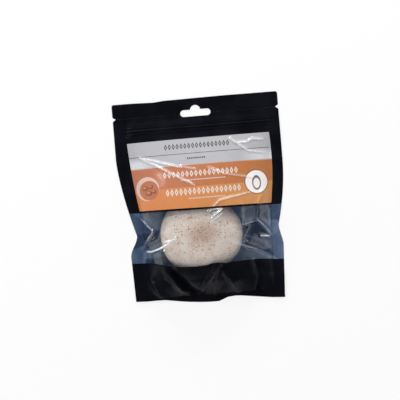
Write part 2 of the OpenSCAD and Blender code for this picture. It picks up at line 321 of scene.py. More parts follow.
@dataclass(frozen=True)
class Fold:
    """A crease in the film along a few plan points: its rise, half width and painted glint, a
    white line painted along it as a highlight, with some stress-whitening.
    """

    points: tuple[Point, ...]
    rise: float
    reach: float
    mottle_and_glint: float = 0.0

    SWELL: ClassVar[float] = 1.6
    SWELL_POWER: ClassVar[float] = 1.5
    FADE_MOST: ClassVar[float] = 7.0
    FADE_SHARE: ClassVar[float] = 0.3
    TIP_ROUND: ClassVar[float] = 0.2
    TIP_DROP: ClassVar[float] = 0.447
    GLINT_HALF: ClassVar[float] = 0.6
    GLINT_RUN: ClassVar[float] = 6.0

    def from_ends(self, x: Array, y: Array) -> Array:
        """Returns how far plan points lie from the crease's nearer end."""
        ends = (self.points[0], self.points[-1])
        return np.minimum(*(np.hypot(x - px, y - py) for px, py in ends))

    def height(self, x: Array, y: Array, sharp: bool) -> Array:
        """Works out the crease's height over plan points.

        Args:
            x: Plan X.
            y: Plan Y.
            sharp: A narrow peak that fades at its ends, or else a broad swell.

        Returns:
            Height of the crease above the smooth film.
        """
        away = off_line(self.points, x, y)
        if not sharp:
            share = np.maximum(0.0, 1 - away / (self.SWELL * self.reach))
            return self.rise * share**self.SWELL_POWER
        length = math.dist(self.points[0], self.points[-1])
        fade = smooth(self.from_ends(x, y) / min(self.FADE_MOST, self.FADE_SHARE * length))
        rounded = np.sqrt(away**2 + self.TIP_ROUND) - self.TIP_DROP
        return self.rise * fade * np.maximum(0.0, 1 - rounded / self.reach) ** 2

    def wear(self, x: Array, y: Array) -> Array:
        """Returns the painted glint along the crease, 0 to 1: white painted where the film catches
        the light, a painted highlight.
        """
        width = self.GLINT_HALF + self.GLINT_HALF * smooth(self.from_ends(x, y) / self.GLINT_RUN)
        return self.mottle_and_glint * smooth(1 - off_line(self.points, x, y) / width)


@dataclass(frozen=True)
class Pane:
    """A flat facet of the crumpled window with painted light on the blue behind it: painted
    reflection where pale, painted shade where deep.
    """

    corners: tuple[Point, ...]
    tone: float

    BLUR: ClassVar[float] = 1.6

    def at(self, x: Array, y: Array) -> Array:
        """Works out the facet's tone, soft at its edges.

        Args:
            x: Plan X.
            y: Plan Y.

        Returns:
            The tone at each place.
        """
        loop = (*self.corners, self.corners[0])
        inside = np.zeros(np.shape(x), dtype=bool)
        for (ax, ay), (bx, by) in zip(loop, loop[1:]):
            if ay != by:
                crossing = ax + (bx - ax) * (y - ay) / (by - ay)
                inside ^= ((ay > y) != (by > y)) & (x < crossing)
        away = off_line(loop, x, y)
        return self.tone * smooth(0.5 + np.where(inside, away, -away) / self.BLUR)


# Each fold's last number is the strength of its painted glint: white painted along the crease as a
# highlight.
LABEL_FOLDS = (
    Fold(((-57.1, 45.7), (-38, 39), (-17.4, 32.6)), 0.5, 1.5, 0.9),
    Fold(((-56.7, 44.7), (-30, 29), (-6.2, 14.7)), 0.55, 1.5, 0.75),
    Fold(((-17.4, 33.5), (-4, 30.0)), 0.4, 1.2, 0.5),
    Fold(((6.8, 30.6), (22.7, 23.4), (46.7, 18.5), (50, 17.5)), 0.5, 1.5, 0.5),
    Fold(((45.5, 4), (15.8, -1.3), (9.5, -6.6)), 0.55, 1.6, 0.8),
    Fold(((31.4, 56.8), (36, 52.6), (47.5, 52.5), (51.6, 55.1), (63.2, 54.1)), 0.55, 1.6, 0.9),
    Fold(((31.4, 56.8), (40, 50), (47.8, 43.7), (64.1, 40.9)), 0.5, 1.7, 0.8),
)
WINDOW_FOLDS = (
    Fold(((-62.8, -11.3), (-49.5, -26), (-60.3, -38.7)), 1.4, 3.2, 0.16),
    Fold(((-60.8, -45.5), (-52.1, -45.3), (-45, -42.9), (-38, -39.6), (-28.8, -34.5)),
         1.2, 2.4, 1.0),
    Fold(((-39.7, -36.6), (-28.8, -34.5)), 0.8, 2.0, 0.9),
    Fold(((-65.1, -50), (-62.1, -55.1)), 0.8, 2.0, 0.5),
    Fold(((35.2, -26.2), (35.6, -8.8)), 0.8, 3.0),
    Fold(((50, -23.6), (51.1, -10), (57, 2)), 1.2, 3.0),
    Fold(((35.2, -26.2), (50, -23.6)), 0.8, 2.8, 0.12),
    Fold(((50.1, -21.6), (64.3, -38.4), (66, -48)), 1.3, 2.8, 0.12),
    Fold(((36.5, -45.8), (50, -52), (64.6, -58.8)), 1.4, 3.0),
    Fold(((50.1, -21.6), (44, -34), (36.5, -45.8)), -1.0, 3.0),
    Fold(((52.6, -38.4), (61.3, -39.6)), 0.9, 2.0, 1.0),
    Fold(((11.8, -26.2), (36.1, -26.3)), 0.5, 2.0, 0.1),
    Fold(((17.5, -39.4), (33.6, -45.6), (48, -50)), 0.7, 2.2, 0.1),
    Fold(((5.2, -12.1), (8.4, -8.4), (17, -10.1), (5.7, -17.9)), 0.9, 1.9, 1.0),
    Fold(((6.4, -20.9), (16.7, -14)), 0.9, 1.8, 1.0),
    Fold(((8.5, -13.0), (14.5, -12.0)), 0.6, 1.6, 0.8),
)
# Facets of painted light: a positive tone paints reflection, a negative one paints shade.
PAINTED_FACETS = (
    Pane(((36.7, -11), (50.3, -8.6), (49.6, -22.9), (40.5, -24.7), (34, -19.2)), 0.55),
    Pane(((36.4, -25.8), (49.5, -23.4), (61.6, -39.3), (52.1, -40), (41.4, -37.7),
          (36.1, -35.7)), -0.9),
    Pane(((49.6, -22.9), (72.3, -24.8), (73.7, -31.9), (65, -40.1), (61.6, -39.3)), 0.2),
    Pane(((51.1, -10.2), (75.4, -10.7), (72.3, -24.8), (50.7, -21.1)), -0.25),
    Pane(((37.4, -37.8), (51.8, -44), (62, -52.8), (64, -58.9), (52.1, -52.9),
          (37.8, -44.8)), -0.9),
    Pane(((28.9, -45.1), (37.8, -45.8), (52, -53.9), (63.9, -59.4), (71, -64.4),
          (25.4, -63.6)), 0.35),
    Pane(((65, -40.1), (73.7, -31.9), (76.5, -46), (74.9, -64.8), (64, -58.9),
          (61.3, -49.7)), 0.1),
    Pane(((-73.1, -5.8), (-62.7, -11.6), (-49.4, -25.6), (-65.9, -27.2)), -0.5),
    Pane(((-61.3, -6.8), (-40.4, -6.5), (-42, -25.3), (-48.9, -25.2), (-60.7, -11.8)), 0.15),
    Pane(((-66, -27.7), (-49.5, -26.6), (-61, -39.6), (-72.2, -42.6)), -0.85),
    Pane(((-48.8, -26.7), (-41, -25.3), (-41.5, -37.2), (-60.9, -44)), -0.8),
    Pane(((-61.5, -46), (-38.2, -40.5), (-34.8, -58.6), (-62.4, -56.3)), 0.15),
    Pane(((-73.2, -42.5), (-62.6, -46.4), (-63.5, -57.2), (-73.3, -56.4)), -0.2),
    Pane(((-60, -53), (-36, -50.5), (-33, -60), (-60, -59)), -1.0),
)
SKIRT_FOLDS = (
    Fold(((-40, -64.7), (-29.7, -81.2), (-21.8, -90.6)), 1.6, 3.2),
    Fold(((-36.2, -65.1), (-14.8, -88.3), (-9, -89.7)), -1.8, 3.6),
    Fold(((-9, -89.7), (3.1, -72.2), (9.8, -62.1)), 1.5, 3.2),
    Fold(((4.9, -74.3), (4.3, -92.8)), 1.0, 2.4),
    Fold(((15, -70.3), (22.8, -80.7), (27, -90)), 1.0, 3.0),
    Fold(((-63, -66), (-52, -78), (-46, -92)), 0.9, 3.5),
    Fold(((45, -62), (50, -78), (47, -93)), -1.0, 4.0),
)
CREASES = LABEL_FOLDS + WINDOW_FOLDS + SKIRT_FOLDS
NET_LINES = (
    ((-62.8, -11.3, 1.6), (-49.5, -26, 2.6), (-60.3, -38.7, 0.4)),
    ((-64, -24, -0.8), (-60.3, -38.7, 0.4)),
    ((-49.5, -26, 2.6), (-46, -34, -0.8)),
    ((-60.8, -45.5, 0.8), (-52.1, -45.3, 1.6), (-45, -42.9, 1.7), (-38, -39.6, 1.5),
     (-28.8, -34.5, 0.5)),
    ((-54, -52, -0.9), (-42, -49, -0.8), (-33, -44, -0.2)),
    ((-65.1, -50, 0.2), (-62.1, -55.1, 0.8)),
    ((35.6, -8.8, 0.9), (51.1, -10, 1.6), (50, -23.6, 1.5), (35.2, -26.2, 0.9),
     (35.6, -8.8, 0.9)),
    ((50, -23.6, 1.5), (64.3, -38.4, 0.6), (64.6, -58.8, 0.5)),
    ((36.5, -45.8, 0.9), (50, -52, 0.9), (64.6, -58.8, 0.5)),
    ((50, -23.6, 1.5), (45, -34, -1.3), (36.5, -45.8, 0.9)),
    ((45, -34, -1.3), (57, -42, -1.5), (64.6, -58.8, 0.5)),
    ((57, -18, -0.6), (64, -12, 0.4)),
    ((17.5, -39.4, 0.3), (33.6, -45.6, 0.5), (36.5, -45.8, 0.9)),
    ((-40, -64.7, 0.6), (-29.7, -81.2, 1.9), (-21.8, -90.6, 0.6)),
    ((-36.2, -65.1, -0.3), (-25, -76, -1.6), (-14.8, -88.3, -1.6), (-9, -89.7, -0.6)),
    ((-9, -89.7, -0.6), (3.1, -72.2, 1.8), (9.8, -62.1, 0.8)),
    ((-10, -72, 0.4), (-9, -89.7, -0.6)),
    ((4.9, -74.3, 1), (4.3, -92.8, 0.6)),
    ((13, -66, -0.6), (16, -80, -1.4), (14, -93, -0.2)),
    ((15, -70.3, 0.6), (22.8, -80.7, 1.5), (27, -90, 0.5)),
    ((-63, -66, 0.6), (-52, -78, 1.2), (-46, -92, 0.4)),
    ((45, -62, 0.2), (50, -78, -1.1), (47, -93, 0)),
    ((60, -66, 0.8), (57, -84, 1.1)),
    ((-57.1, 45.7, 0.4), (-38, 39, 0.3), (-17.4, 32.6, 0.1)),
    ((-56.7, 44.7, 0.4), (-30, 29, 0.3), (-6.2, 14.7, 0.1)),
    ((6.8, 30.6, 0.1), (22.7, 23.4, 0.4), (46.7, 18.5, 0.3), (62, 14, 0.1)),
    ((45.5, 4, 0.3), (15.8, -1.3, 0.4), (9.5, -6.6, 0.1)),
    ((31.4, 56.8, 0.1), (47.8, 43.7, 0.5), (64.1, 40.9, 0.3)),
    ((31.4, 56.8, 0.1), (47.5, 52.5, 0.4), (63.2, 54.1, 0.3)),
)


@dataclass(frozen=True)
class Level:
    """One grid of the film's relaxation: columns, rows, steps and bending."""

    cols: int
    rows: int
    steps: int
    bend: float


def grid_pairs(step: Step) -> tuple[tuple[slice, slice], tuple[slice, slice]]:
    """Finds the grid points that lie one step apart.

    Args:
        step: Rows and columns from one point to the other.

    Returns:
        Index slices of the first points and of the second ones.
    """
    rise, run = step

    def cut(shift: int) -> tuple[slice, slice]:
        """Cuts one axis.

        Args:
            shift: Steps along it from the first point to the second.

        Returns:
            Slices of the first points and of the second ones.
        """
        if shift >= 0:
            return slice(0, -shift or None), slice(shift, None)
        return slice(-shift, None), slice(0, shift)

    (row_a, row_b), (col_a, col_b) = cut(rise), cut(run)
    return (row_a, col_a), (row_b, col_b)


def finer(grid: Array) -> Array:
    """Puts a point between each two of a grid, on a smooth curve.

    Args:
        grid: Rows of points.

    Returns:
        The finer grid.
    """
    for axis in (0, 1):
        rows = np.moveaxis(grid, axis, 0)
        out = np.empty((2 * len(rows) - 1, *rows.shape[1:]))
        out[::2] = rows
        between = (rows[:-1] + rows[1:]) / 2
        between[1:-1] = (9 * (rows[1:-2] + rows[2:-1]) - rows[:-3] - rows[3:]) / 16
        out[1::2] = between
        grid = np.moveaxis(out, 0, axis)
    return grid


@dataclass
class FacetNet:
    """Flat facets between the film's creases, on a net of lines with heights."""

    lines: tuple[tuple[Peak, ...], ...]
    seed: int = 5
    tries: int = 720
    span_x: Point = (-68.0, 68.0)
    span_y: Point = (-92.0, 62.0)
    clearance: float = 11.0
    spread: float = 0.45
    calm_y: float = -10.0
    rough_share: float = 1.4
    calm_share: float = 0.5
    found_rise: float = 0.3
    pitch: float = 0.5
    blur: int = 3
    low: Point = (-84.0, -104.0)
    high: Point = (84.0, 72.0)
    heights: Array = field(init=False, repr=False)

    TINY: ClassVar[float] = 1e-6
    WELD: ClassVar[float] = 1e-4

    def corners(self) -> tuple[list[Peak], list[Step]]:
        """Lists the net's corners.

        Returns:
            Points with their heights, and the edges that the lines hold.
        """
        noise = np.random.default_rng(self.seed)
        points, edges = [], []
        for line in self.lines:
            start = len(points)
            points += line
            edges += [(start + i, start + i + 1) for i in range(len(line) - 1)]
        rim_x, rim_y = (self.low[0], 0.0, self.high[0]), (self.low[1], 0.0, self.high[1])
        points += [(x, y, 0.0) for x in rim_x for y in rim_y if (x, y) != (0.0, 0.0)]
        for _ in range(self.tries):
            x, y = noise.uniform(*self.span_x), noise.uniform(*self.span_y)
            rise = noise.normal() * self.spread
            if min(math.hypot(x - px, y - py) for px, py, _ in points) > self.clearance:
                share = self.rough_share if y < self.calm_y else self.calm_share
                points.append((x, y, rise * share))
        return points, edges

    def paint(self, raster: Array, xs: Array, ys: Array, corners: Array) -> None:
        """Writes one triangle's heights into the raster.

        Args:
            raster: Heights over the net, changed in place.
            xs: Plan X of the raster's columns.
            ys: Plan Y of the raster's rows.
            corners: The triangle's three points with their heights.
        """

        def span(places: Array, ends: Array) -> slice:
            """Returns the part of an axis that the triangle covers."""
            return slice(*np.searchsorted(places, (ends.min() - 0.01, ends.max() + 0.01)))

        (ax, ay, a_rise), (bx, by, b_rise), (cx, cy, c_rise) = corners
        cols, rows = span(xs, corners[:, 0]), span(ys, corners[:, 1])
        x, y = np.meshgrid(xs[cols], ys[rows])
        area = (by - cy) * (ax - cx) + (cx - bx) * (ay - cy)
        if abs(area) < self.TINY or x.size == 0:
            return
        u = ((by - cy) * (x - cx) + (cx - bx) * (y - cy)) / area
        v = ((cy - ay) * (x - cx) + (ax - cx) * (y - cy)) / area
        inside = (u >= -self.TINY) & (v >= -self.TINY) & (u + v <= 1 + self.TINY)
        rise = u * a_rise + v * b_rise + (1 - u - v) * c_rise
        raster[rows, cols] = np.where(inside, rise, raster[rows, cols])

    def weave(self) -> None:
        """Joins the net into triangles and keeps their heights on a fine raster."""
        points, edges = self.corners()
        height_at = {(round(x, 3), round(y, 3)): h for x, y, h in points}
        found, _, faces, *_ = delaunay_2d_cdt([p[:2] for p in points], edges, [], 0, self.WELD)
        spots = np.array([
            (p[0], p[1], height_at.get((round(p[0], 3), round(p[1], 3)), self.found_rise))
            for p in found
        ])
        xs = np.arange(self.low[0], self.high[0], self.pitch)
        ys = np.arange(self.low[1], self.high[1], self.pitch)
        raster = np.zeros((len(ys), len(xs)))
        for face in faces:
            self.paint(raster, xs, ys, spots[list(face)])
        for _ in range(self.blur):
            for axis in (0, 1):
                raster = (np.roll(raster, 1, axis) + 2 * raster + np.roll(raster, -1, axis)) / 4
        self.heights = raster

    def at(self, x: Array, y: Array) -> Array:
        """Reads the facets' height.

        Args:
            x: Plan X.
            y: Plan Y.

        Returns:
            The height at each place.
        """
        rows, cols = self.heights.shape
        col = np.clip((x - self.low[0]) / self.pitch, 0, cols - 1.001)
        row = np.clip((y - self.low[1]) / self.pitch, 0, rows - 1.001)
        i, j = row.astype(int), col.astype(int)
        v, u = row - i, col - j
        h = self.heights
        return mix(mix(h[i, j], h[i, j + 1], u), mix(h[i + 1, j], h[i + 1, j + 1], u), v)


@dataclass
class FrontFilm:
    """The front film's shape: a smooth cover over the sponge, relaxed as film."""

    plan: PouchPlan
    sponge_x: float
    sponge_y: float
    sponge_r: float
    sponge_base: float
    side_h: float = 9.0
    dome_h: float = 30.0
    dome_power: float = 2.4
    crown: float = 31.3
    crown_half: float = 8.0
    crown_power: float = 1.3
    bow_power: float = 2.5
    hem_w: float = 8.5
    lip_z: float = 2.4
    zip_end_y: float = 76.0
    flat_y: float = 80.1
    zip_z: float = 0.95
    tear_z: float = 0.33
    seal_z: float = 0.36
    foot_z: float = 0.7
    foot_run: float = 40.0
    tuck_y: float = -73.5
    tuck_run: float = 5.6
    tuck_rise: float = 0.9
    shoulder: float = 9.0
    rim_x: float = 56.0
    rim_run: float = 22.0
    rim_rise: float = 0.9
    rim_wave: float = 11.0
    rim_slow: float = 27.0
    head_y: float = 86.0
    head_run: float = 14.0
    head_rise: float = 0.5
    head_wave: float = 17.0
    slack_x: float = 0.012
    slack_y: float = 0.006
    slack_mid_y: float = -30.0
    slack_half: float = 38.0
    slack_sides: Point = (-58.0, 60.0)
    slack_side_half: float = 14.0
    slack_low_y: float = -60.0
    slack_top_y: float = 64.0
    seed: int = 7
    levels: tuple[Level, ...] = (
        Level(34, 42, 700, 0.14), Level(67, 83, 260, 0.1), Level(133, 165, 80, 0.06),
    )
    moved: Array = field(init=False, repr=False)
    net: FacetNet = field(default_factory=lambda: FacetNet(NET_LINES))

    STEPS: ClassVar[tuple[Step, ...]] = ((0, 1), (1, 0), (1, 1), (1, -1))
    STIFF: ClassVar[tuple[float, ...]] = (1.0, 1.0, 0.35, 0.35)
    START_X: ClassVar[Point] = (-70.0, 70.0)
    START_RISE: ClassVar[float] = 0.5
    EDGE_SHARE: ClassVar[float] = 0.05
    LOW_SHARE: ClassVar[float] = 0.03
    CARRY: ClassVar[float] = 0.9
    TOP_SPEED: ClassVar[float] = 0.4
    SLACK_PUSH: ClassVar[float] = 0.7
    SWELL_SHARE: ClassVar[float] = 1.6
    SETTLE_GAP: ClassVar[float] = 0.7
    SETTLE_LOW: ClassVar[float] = 0.9
    SETTLE_ROOM: ClassVar[float] = 2.6
    LEAST_GAP: ClassVar[float] = 0.45

    def lay(self, x: Array, y: Array) -> Array:
        """Works out how the pouch's edges rise off the surface in slow waves.

        Args:
            x: Plan X.
            y: Plan Y.

        Returns:
            The rise at each place.
        """
        side = np.sign(x)
        rim = smooth((np.abs(x) - self.rim_x) / self.rim_run)
        wave = ripple(y / self.rim_wave + side * 1.3 + 0.02 * x)
        slow = ripple(y / self.rim_slow - 0.8 * side)
        top = smooth((y - self.head_y) / self.head_run) * ripple(x / self.head_wave + 0.6)
        return self.rim_rise * rim * wave * slow + self.head_rise * top

    def crown_at(self, y: Array) -> Array:
        """Works out the film's height along the line over the sponge's middle.

        Args:
            y: Heights along the pouch.

        Returns:
            The film's height at each.
        """
        front_y, back_y = self.sponge_y + self.crown_half, self.sponge_y - self.crown_half
        ahead = clamp01((y - front_y) / (self.plan.panel_y1 - front_y))
        behind = clamp01((back_y - y) / (back_y - self.plan.low_y - self.hem_w))
        rise = mix(self.lip_z, self.crown, (1 - ahead**2) ** self.crown_power)
        return rise - (self.crown - self.foot_z) * behind**2.0

    def smooth_z(self, x: Array, y: Array) -> Array:
        """Works out the height of the film with no wrinkles in it.

        Args:
            x: Plan X.
            y: Plan Y.

        Returns:
            Height of the film's underside.
        """
        plan = self.plan
        left_x, right_x = plan.feet(y)
        left = (self.sponge_x - x) / (self.sponge_x - left_x)
        right = (x - self.sponge_x) / (right_x - self.sponge_x)
        bow = 1 - clamp01(np.where(x < self.sponge_x, left, right)) ** self.bow_power
        foot = mix(self.lip_z, self.foot_z, smooth((plan.panel_y1 - y) / self.foot_run))
        over = mix(foot, self.crown_at(y), bow)
        tuck = self.tuck_rise * smooth((self.tuck_y - y) / self.tuck_run)
        skirt = self.foot_z + tuck + (self.crown_at(y) - self.foot_z) * bow
        z = np.where(y < plan.hinge_y, skirt, over)
        beyond = (plan.panel_y1, self.zip_end_y, self.flat_y, plan.tear_y)
        flat = np.interp(y, beyond, (self.lip_z, self.lip_z, self.zip_z, self.tear_z))
        z = np.where(y > plan.panel_y1, flat, z)
        foot = np.where(y > plan.panel_y1, flat, foot)
        inset = np.minimum(x - left_x, right_x - x)
        fall = (foot - self.seal_z) * (1 - smooth(inset / self.shoulder))
        return np.where(y > plan.hinge_y, z - fall, z)

    def dome(self, x: Array, y: Array) -> Array:
        """Works out the top of the sponge.

        Args:
            x: Plan X.
            y: Plan Y.

        Returns:
            Its height, 0 beside the sponge.
        """
        share = np.hypot(x - self.sponge_x, y - self.sponge_y) / self.sponge_r
        cap = np.sqrt(clamp01(1 - clamp01(share) ** self.dome_power))
        return np.where(share < 1, self.sponge_base + mix(self.side_h, self.dome_h, cap), 0.0)

    def swell(self, x: Array, y: Array) -> Array:
        """Works out the broad swells that the folds start from.

        Args:
            x: Plan X.
            y: Plan Y.

        Returns:
            The rise at each place.
        """
        deep = WINDOW_FOLDS + SKIRT_FOLDS
        broad = sum(self.SWELL_SHARE * fold.height(x, y, sharp=False) for fold in deep)
        return broad + sum(fold.height(x, y, sharp=False) for fold in LABEL_FOLDS)

    def patch(self, level: Level) -> tuple[Array, Array, Array, Array]:
        """Lays out one grid of the film.

        Args:
            level: The grid's size.

        Returns:
            Shares across and along, and plan X and Y.
        """
        across, along = shares(level.cols, level.rows)
        start = mix(*self.START_X, across)
        feet = foot_of(Side.LEFT), foot_of(Side.RIGHT)
        return across, along, *fit_plan(start, (across, along), (BOTTOM, PANEL_TOP), feet)

    def slack(self, x: Array, y: Array) -> Pair:
        """Works out the film's spare length.

        Args:
            x: Plan X.
            y: Plan Y.

        Returns:
            Spare length across and along, as shares.
        """
        left, right = (bell(x, place, self.slack_side_half) for place in self.slack_sides)
        side = bell(y, self.slack_mid_y, self.slack_half) * (left + right)
        low = smooth((self.slack_low_y - y) / 10)
        top = smooth((self.slack_top_y - y) / 30) * mix(0.45, 1.0, smooth((10 - y) / 20))
        return (self.slack_x * (1 + 1.6 * side + 1.2 * low) * top,
                self.slack_y * (1 + side + 0.5 * low) * top)

    def settle(self) -> None:
        """Relaxes the film over the sponge, on finer and finer grids."""
        self.net.weave()
        noise = np.random.default_rng(self.seed)
        points = None
        for level in self.levels:
            across, along, x, y = self.patch(level)
            smooth_film = np.stack([x, y, self.smooth_z(x, y)], -1)
            border = clamp01(np.minimum(across, 1 - across) / self.EDGE_SHARE)
            border = border * clamp01(along / self.LOW_SHARE)
            border = border * clamp01((1 - along) / self.EDGE_SHARE)
            creased = smooth_film.copy()
            creased[..., 2] += self.swell(x, y) * border
            lengths = self.cut_lengths(creased, x, y)
            if points is None:
                points = creased.copy()
                points[..., 2] += noise.normal(size=x.shape) * self.START_RISE * border
            else:
                points = finer(points)
            free = np.zeros(x.shape)
            free[1:-1, 1:-1] = 1
            points = np.where(free[..., None] > 0, points, smooth_film)
            self.relax(points, creased, lengths, free, level)
            self.moved = points - smooth_film

    def cut_lengths(self, shape: Array, x: Array, y: Array) -> list[Array]:
        """Works out the film's own length between neighbours.

        Args:
            shape: The film's points before it is relaxed.
            x: Their plan X.
            y: Their plan Y.

        Returns:
            Lengths with the slack added, for each kind of pair.
        """
        across, along = self.slack(x, y)
        extra = (across, along, (across + along) / 2, (across + along) / 2)
        out = []
        for step, spare in zip(self.STEPS, extra):
            first, second = grid_pairs(step)
            length = np.linalg.norm(shape[second] - shape[first], axis=-1)
            out.append(length * (1 + spare[first]))
        return out

    def relax(self, points: Array, rest: Array, lengths: list[Array], free: Array,
              level: Level) -> None:
        """Moves the points until the film keeps its length and clears the sponge.

        Args:
            points: The film's points, changed in place.
            rest: The shape that the film's own creases are set to.
            lengths: Length of film between neighbours, for each kind of pair.
            free: 1 where a point may move.
            level: The grid's steps and bending.
        """
        speed = np.zeros_like(points)
        set_curve = [np.diff(rest, 2, axis) for axis in (0, 1)]
        for _ in range(level.steps):
            before = points.copy()
            points += speed
            for step, stiff, length in zip(self.STEPS, self.STIFF, lengths):
                self.pull(points, free, step, stiff, length)
            for axis, curve in enumerate(set_curve):
                rows = np.moveaxis(points, axis, 0)
                loose = np.moveaxis(free, axis, 0)[..., None]
                turn = np.moveaxis(np.diff(points, 2, axis) - curve, axis, 0) * level.bend / 2
                rows[1:-1] += turn * loose[1:-1]
                rows[:-2] -= turn / 2 * loose[:-2]
                rows[2:] -= turn / 2 * loose[2:]
            self.keep_clear(points, free)
            speed = (points - before) * self.CARRY * free[..., None]
            speed = np.clip(speed, -self.TOP_SPEED, self.TOP_SPEED)

    def pull(self, points: Array, free: Array, step: Step, stiff: float, length: Array) -> None:
        """Brings each pair of neighbours to its length, one half of the pairs at a time.

        Args:
            points: The film's points, changed in place.
            free: 1 where a point may move.
            step: Rows and columns from a point to its neighbour.
            stiff: Share of the error that is put right at once.
            length: Length of film between the neighbours.
        """
        first, second = grid_pairs(step)
        for start in (0, 1):
            every = slice(start, None, 2)
            part = (every, slice(None)) if step == (1, 0) else (slice(None), every)
            a, b = points[first][part], points[second][part]
            gap = b - a
            size = np.linalg.norm(gap, axis=-1) + TINY
            share = stiff * np.where(size < length[part], self.SLACK_PUSH, 1.0)
            push = share * (size - length[part]) / size
            loose_a, loose_b = free[first][part], free[second][part]
            shift = gap * (push / (loose_a + loose_b + TINY))[..., None]
            a += shift * loose_a[..., None]
            b -= shift * loose_b[..., None]

    def keep_clear(self, points: Array, free: Array) -> None:
        """Holds the film over the sponge and under its ceiling.

        Args:
            points: The film's points, changed in place.
            free: 1 where a point may move.
        """
        x, y, z = points[..., 0], points[..., 1], points[..., 2]
        low = np.maximum(self.dome(x, y) + self.SETTLE_GAP, self.SETTLE_LOW)
        high = np.maximum(self.smooth_z(x, y) + self.SETTLE_ROOM, low)
        points[..., 2] = np.where(free > 0, np.clip(z, low, high), z)

    def sample(self, across: Array, along: Array) -> Array:
        """Reads how far the film moved as it relaxed.

        Args:
            across: Shares from the left foot to the right.
            along: Shares from the bottom edge to the panel's top.

        Returns:
            The shift at each place, on a smooth curve between grid points.
        """
        rows, cols = self.moved.shape[:2]

        def weights(place: Array, count: int) -> tuple[Array, list[Array]]:
            """Finds the grid points round each place, along one axis.

            Args:
                place: Shares of the way along it.
                count: Its number of grid points.

            Returns:
                The point before each place, and the weights of four neighbours.
            """
            spot = clamp01(place) * (count - 1)
            base = np.minimum(spot.astype(int), count - 2)
            t = spot - base
            return base, [
                (-t + 2 * t**2 - t**3) / 2, (2 - 5 * t**2 + 3 * t**3) / 2,
                (t + 4 * t**2 - 3 * t**3) / 2, (t**3 - t**2) / 2,
            ]

        row, row_w = weights(along, rows)
        col, col_w = weights(across, cols)
        out = np.zeros((*across.shape, 3))
        for i, row_part in enumerate(row_w):
            for j, col_part in enumerate(col_w):
                r = np.clip(row + i - 1, 0, rows - 1)
                c = np.clip(col + j - 1, 0, cols - 1)
                out += self.moved[r, c] * (row_part * col_part)[..., None]
        return out

    def at(self, x: Array, y: Array) -> Array:
        """Works out where the film lies.

        Args:
            x: Plan X of the film before it wrinkled.
            y: Plan Y of the film before it wrinkled.

        Returns:
            Points of the film's underside, in millimetres.
        """
        left, right = self.plan.feet(y)
        across = (x - left) / (right - left)
        along = (y - BOTTOM.at(x)) / (self.plan.panel_y1 - BOTTOM.at(x))
        points = np.stack([x, y, self.smooth_z(x, y)], -1)
        inside = (across > 0) & (across < 1) & (along > 0) & (along < 1)
        points += np.where(inside[..., None], self.sample(across, along), 0.0)
        border = smooth(np.minimum(across, 1 - across) / self.LOW_SHARE)
        border = border * smooth((1 - along) / self.EDGE_SHARE)
        sharp = sum(fold.height(x, y, sharp=True) for fold in CREASES)
        points[..., 2] += (sharp + self.net.at(x, y)) * border + self.lay(x, y)
        floor = self.dome(points[..., 0], points[..., 1]) + self.LEAST_GAP
        points[..., 2] = np.maximum(points[..., 2], floor)
        return points


def shares(cols: int, rows: int) -> Pair:
    """Returns a grid's shares across and along, from 0 to 1."""
    return tuple(np.meshgrid(np.linspace(0, 1, cols), np.linspace(0, 1, rows)))


def fit_plan(x: Array, places: Pair, lines: tuple[FilmLine, FilmLine],
             edges: tuple[EdgeLine, EdgeLine], passes: int = 4) -> Pair:
    """Moves plan points until they lie at their shares between lines and edges.

    Args:
        x: First guess of the points' X.
        places: Shares across and along.
        lines: The lines nearer the bottom and nearer the header.
        edges: X of the left and of the right edge at a height.
        passes: How often the points are moved.

    Returns:
        Plan X and Y.
    """
    across, along = places
    for _ in range(passes):
        y = mix(lines[0].at(x), lines[1].at(x), along)
        x = mix(edges[0](y), edges[1](y), across)
    return x, y


def patch_grid(low: FilmLine, high: FilmLine, left: EdgeLine, right: EdgeLine,
               pitch: float) -> Pair:
    """Lays plan points between two lines across the film and two edges.

    Args:
        low: The line nearer the bottom.
        high: The line nearer the header.
        left: X of the left edge at a height.
        right: X of the right edge at a height.
        pitch: Rough distance between points.

    Returns:
        Plan X and Y, in rows from the low line up.
    """
    middle = np.array([(low.at(0.0) + high.at(0.0)) / 2])
    cols = max(2, round(float(right(middle)[0] - left(middle)[0]) / pitch)) + 1
    rows = max(2, round(float(high.at(0.0) - low.at(0.0)) / pitch)) + 1
    across, along = shares(cols, rows)
    start = mix(left(middle), right(middle), across)
    x, _ = fit_plan(start, (across, along), (low, high), (left, right))
    return x, mix(low.at(x), high.at(x), along)


def edge_of(side: Side, notched: bool = False) -> EdgeLine:
    """Returns a side edge as a function of height."""
    return lambda y: PLAN.edge(y, side, notched)


def foot_of(side: Side, inset: float = 0.0) -> EdgeLine:
    """Returns where the free film meets a seal as a function of height."""
    return lambda y: PLAN.foot(y, side) - side.value * inset


def add_mesh(name: str, points: Array, faces: Sequence[Sequence[int]]) -> Piece:
    """Makes an object and puts it in the scene.

    Args:
        name: The object's name.
        points: Its points in millimetres.
        faces: Point indices of each face.

    Returns:
        The object.
    """
    mesh = bpy.data.meshes.new(name)
    mesh.from_pydata((points * MM).tolist(), [], faces)
    mesh.update()
    piece = bpy.data.objects.new(name, mesh)
    bpy.context.scene.collection.objects.link(piece)
    return piece


def outfit(piece: Piece, slot: str, node: str, *finishes: "Finish") -> None:
    """Gives a piece its looks.

    Args:
        piece: The piece.
        slot: Name of its looks in the part; not used.
        node: The node that it replaces.
        finishes: Its materials, in the order of its faces' indices.
    """
    for finish in finishes:
        piece.data.materials.append(finish.material())
    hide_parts(node)


def set_on(piece: Piece, body: Body, slot: str, node: str, *finishes: "Finish") -> Piece:
    """Gives a rigid piece its looks, puts it on its body, and returns it."""
    outfit(piece, slot, node, *finishes)
    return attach(piece, body.value)


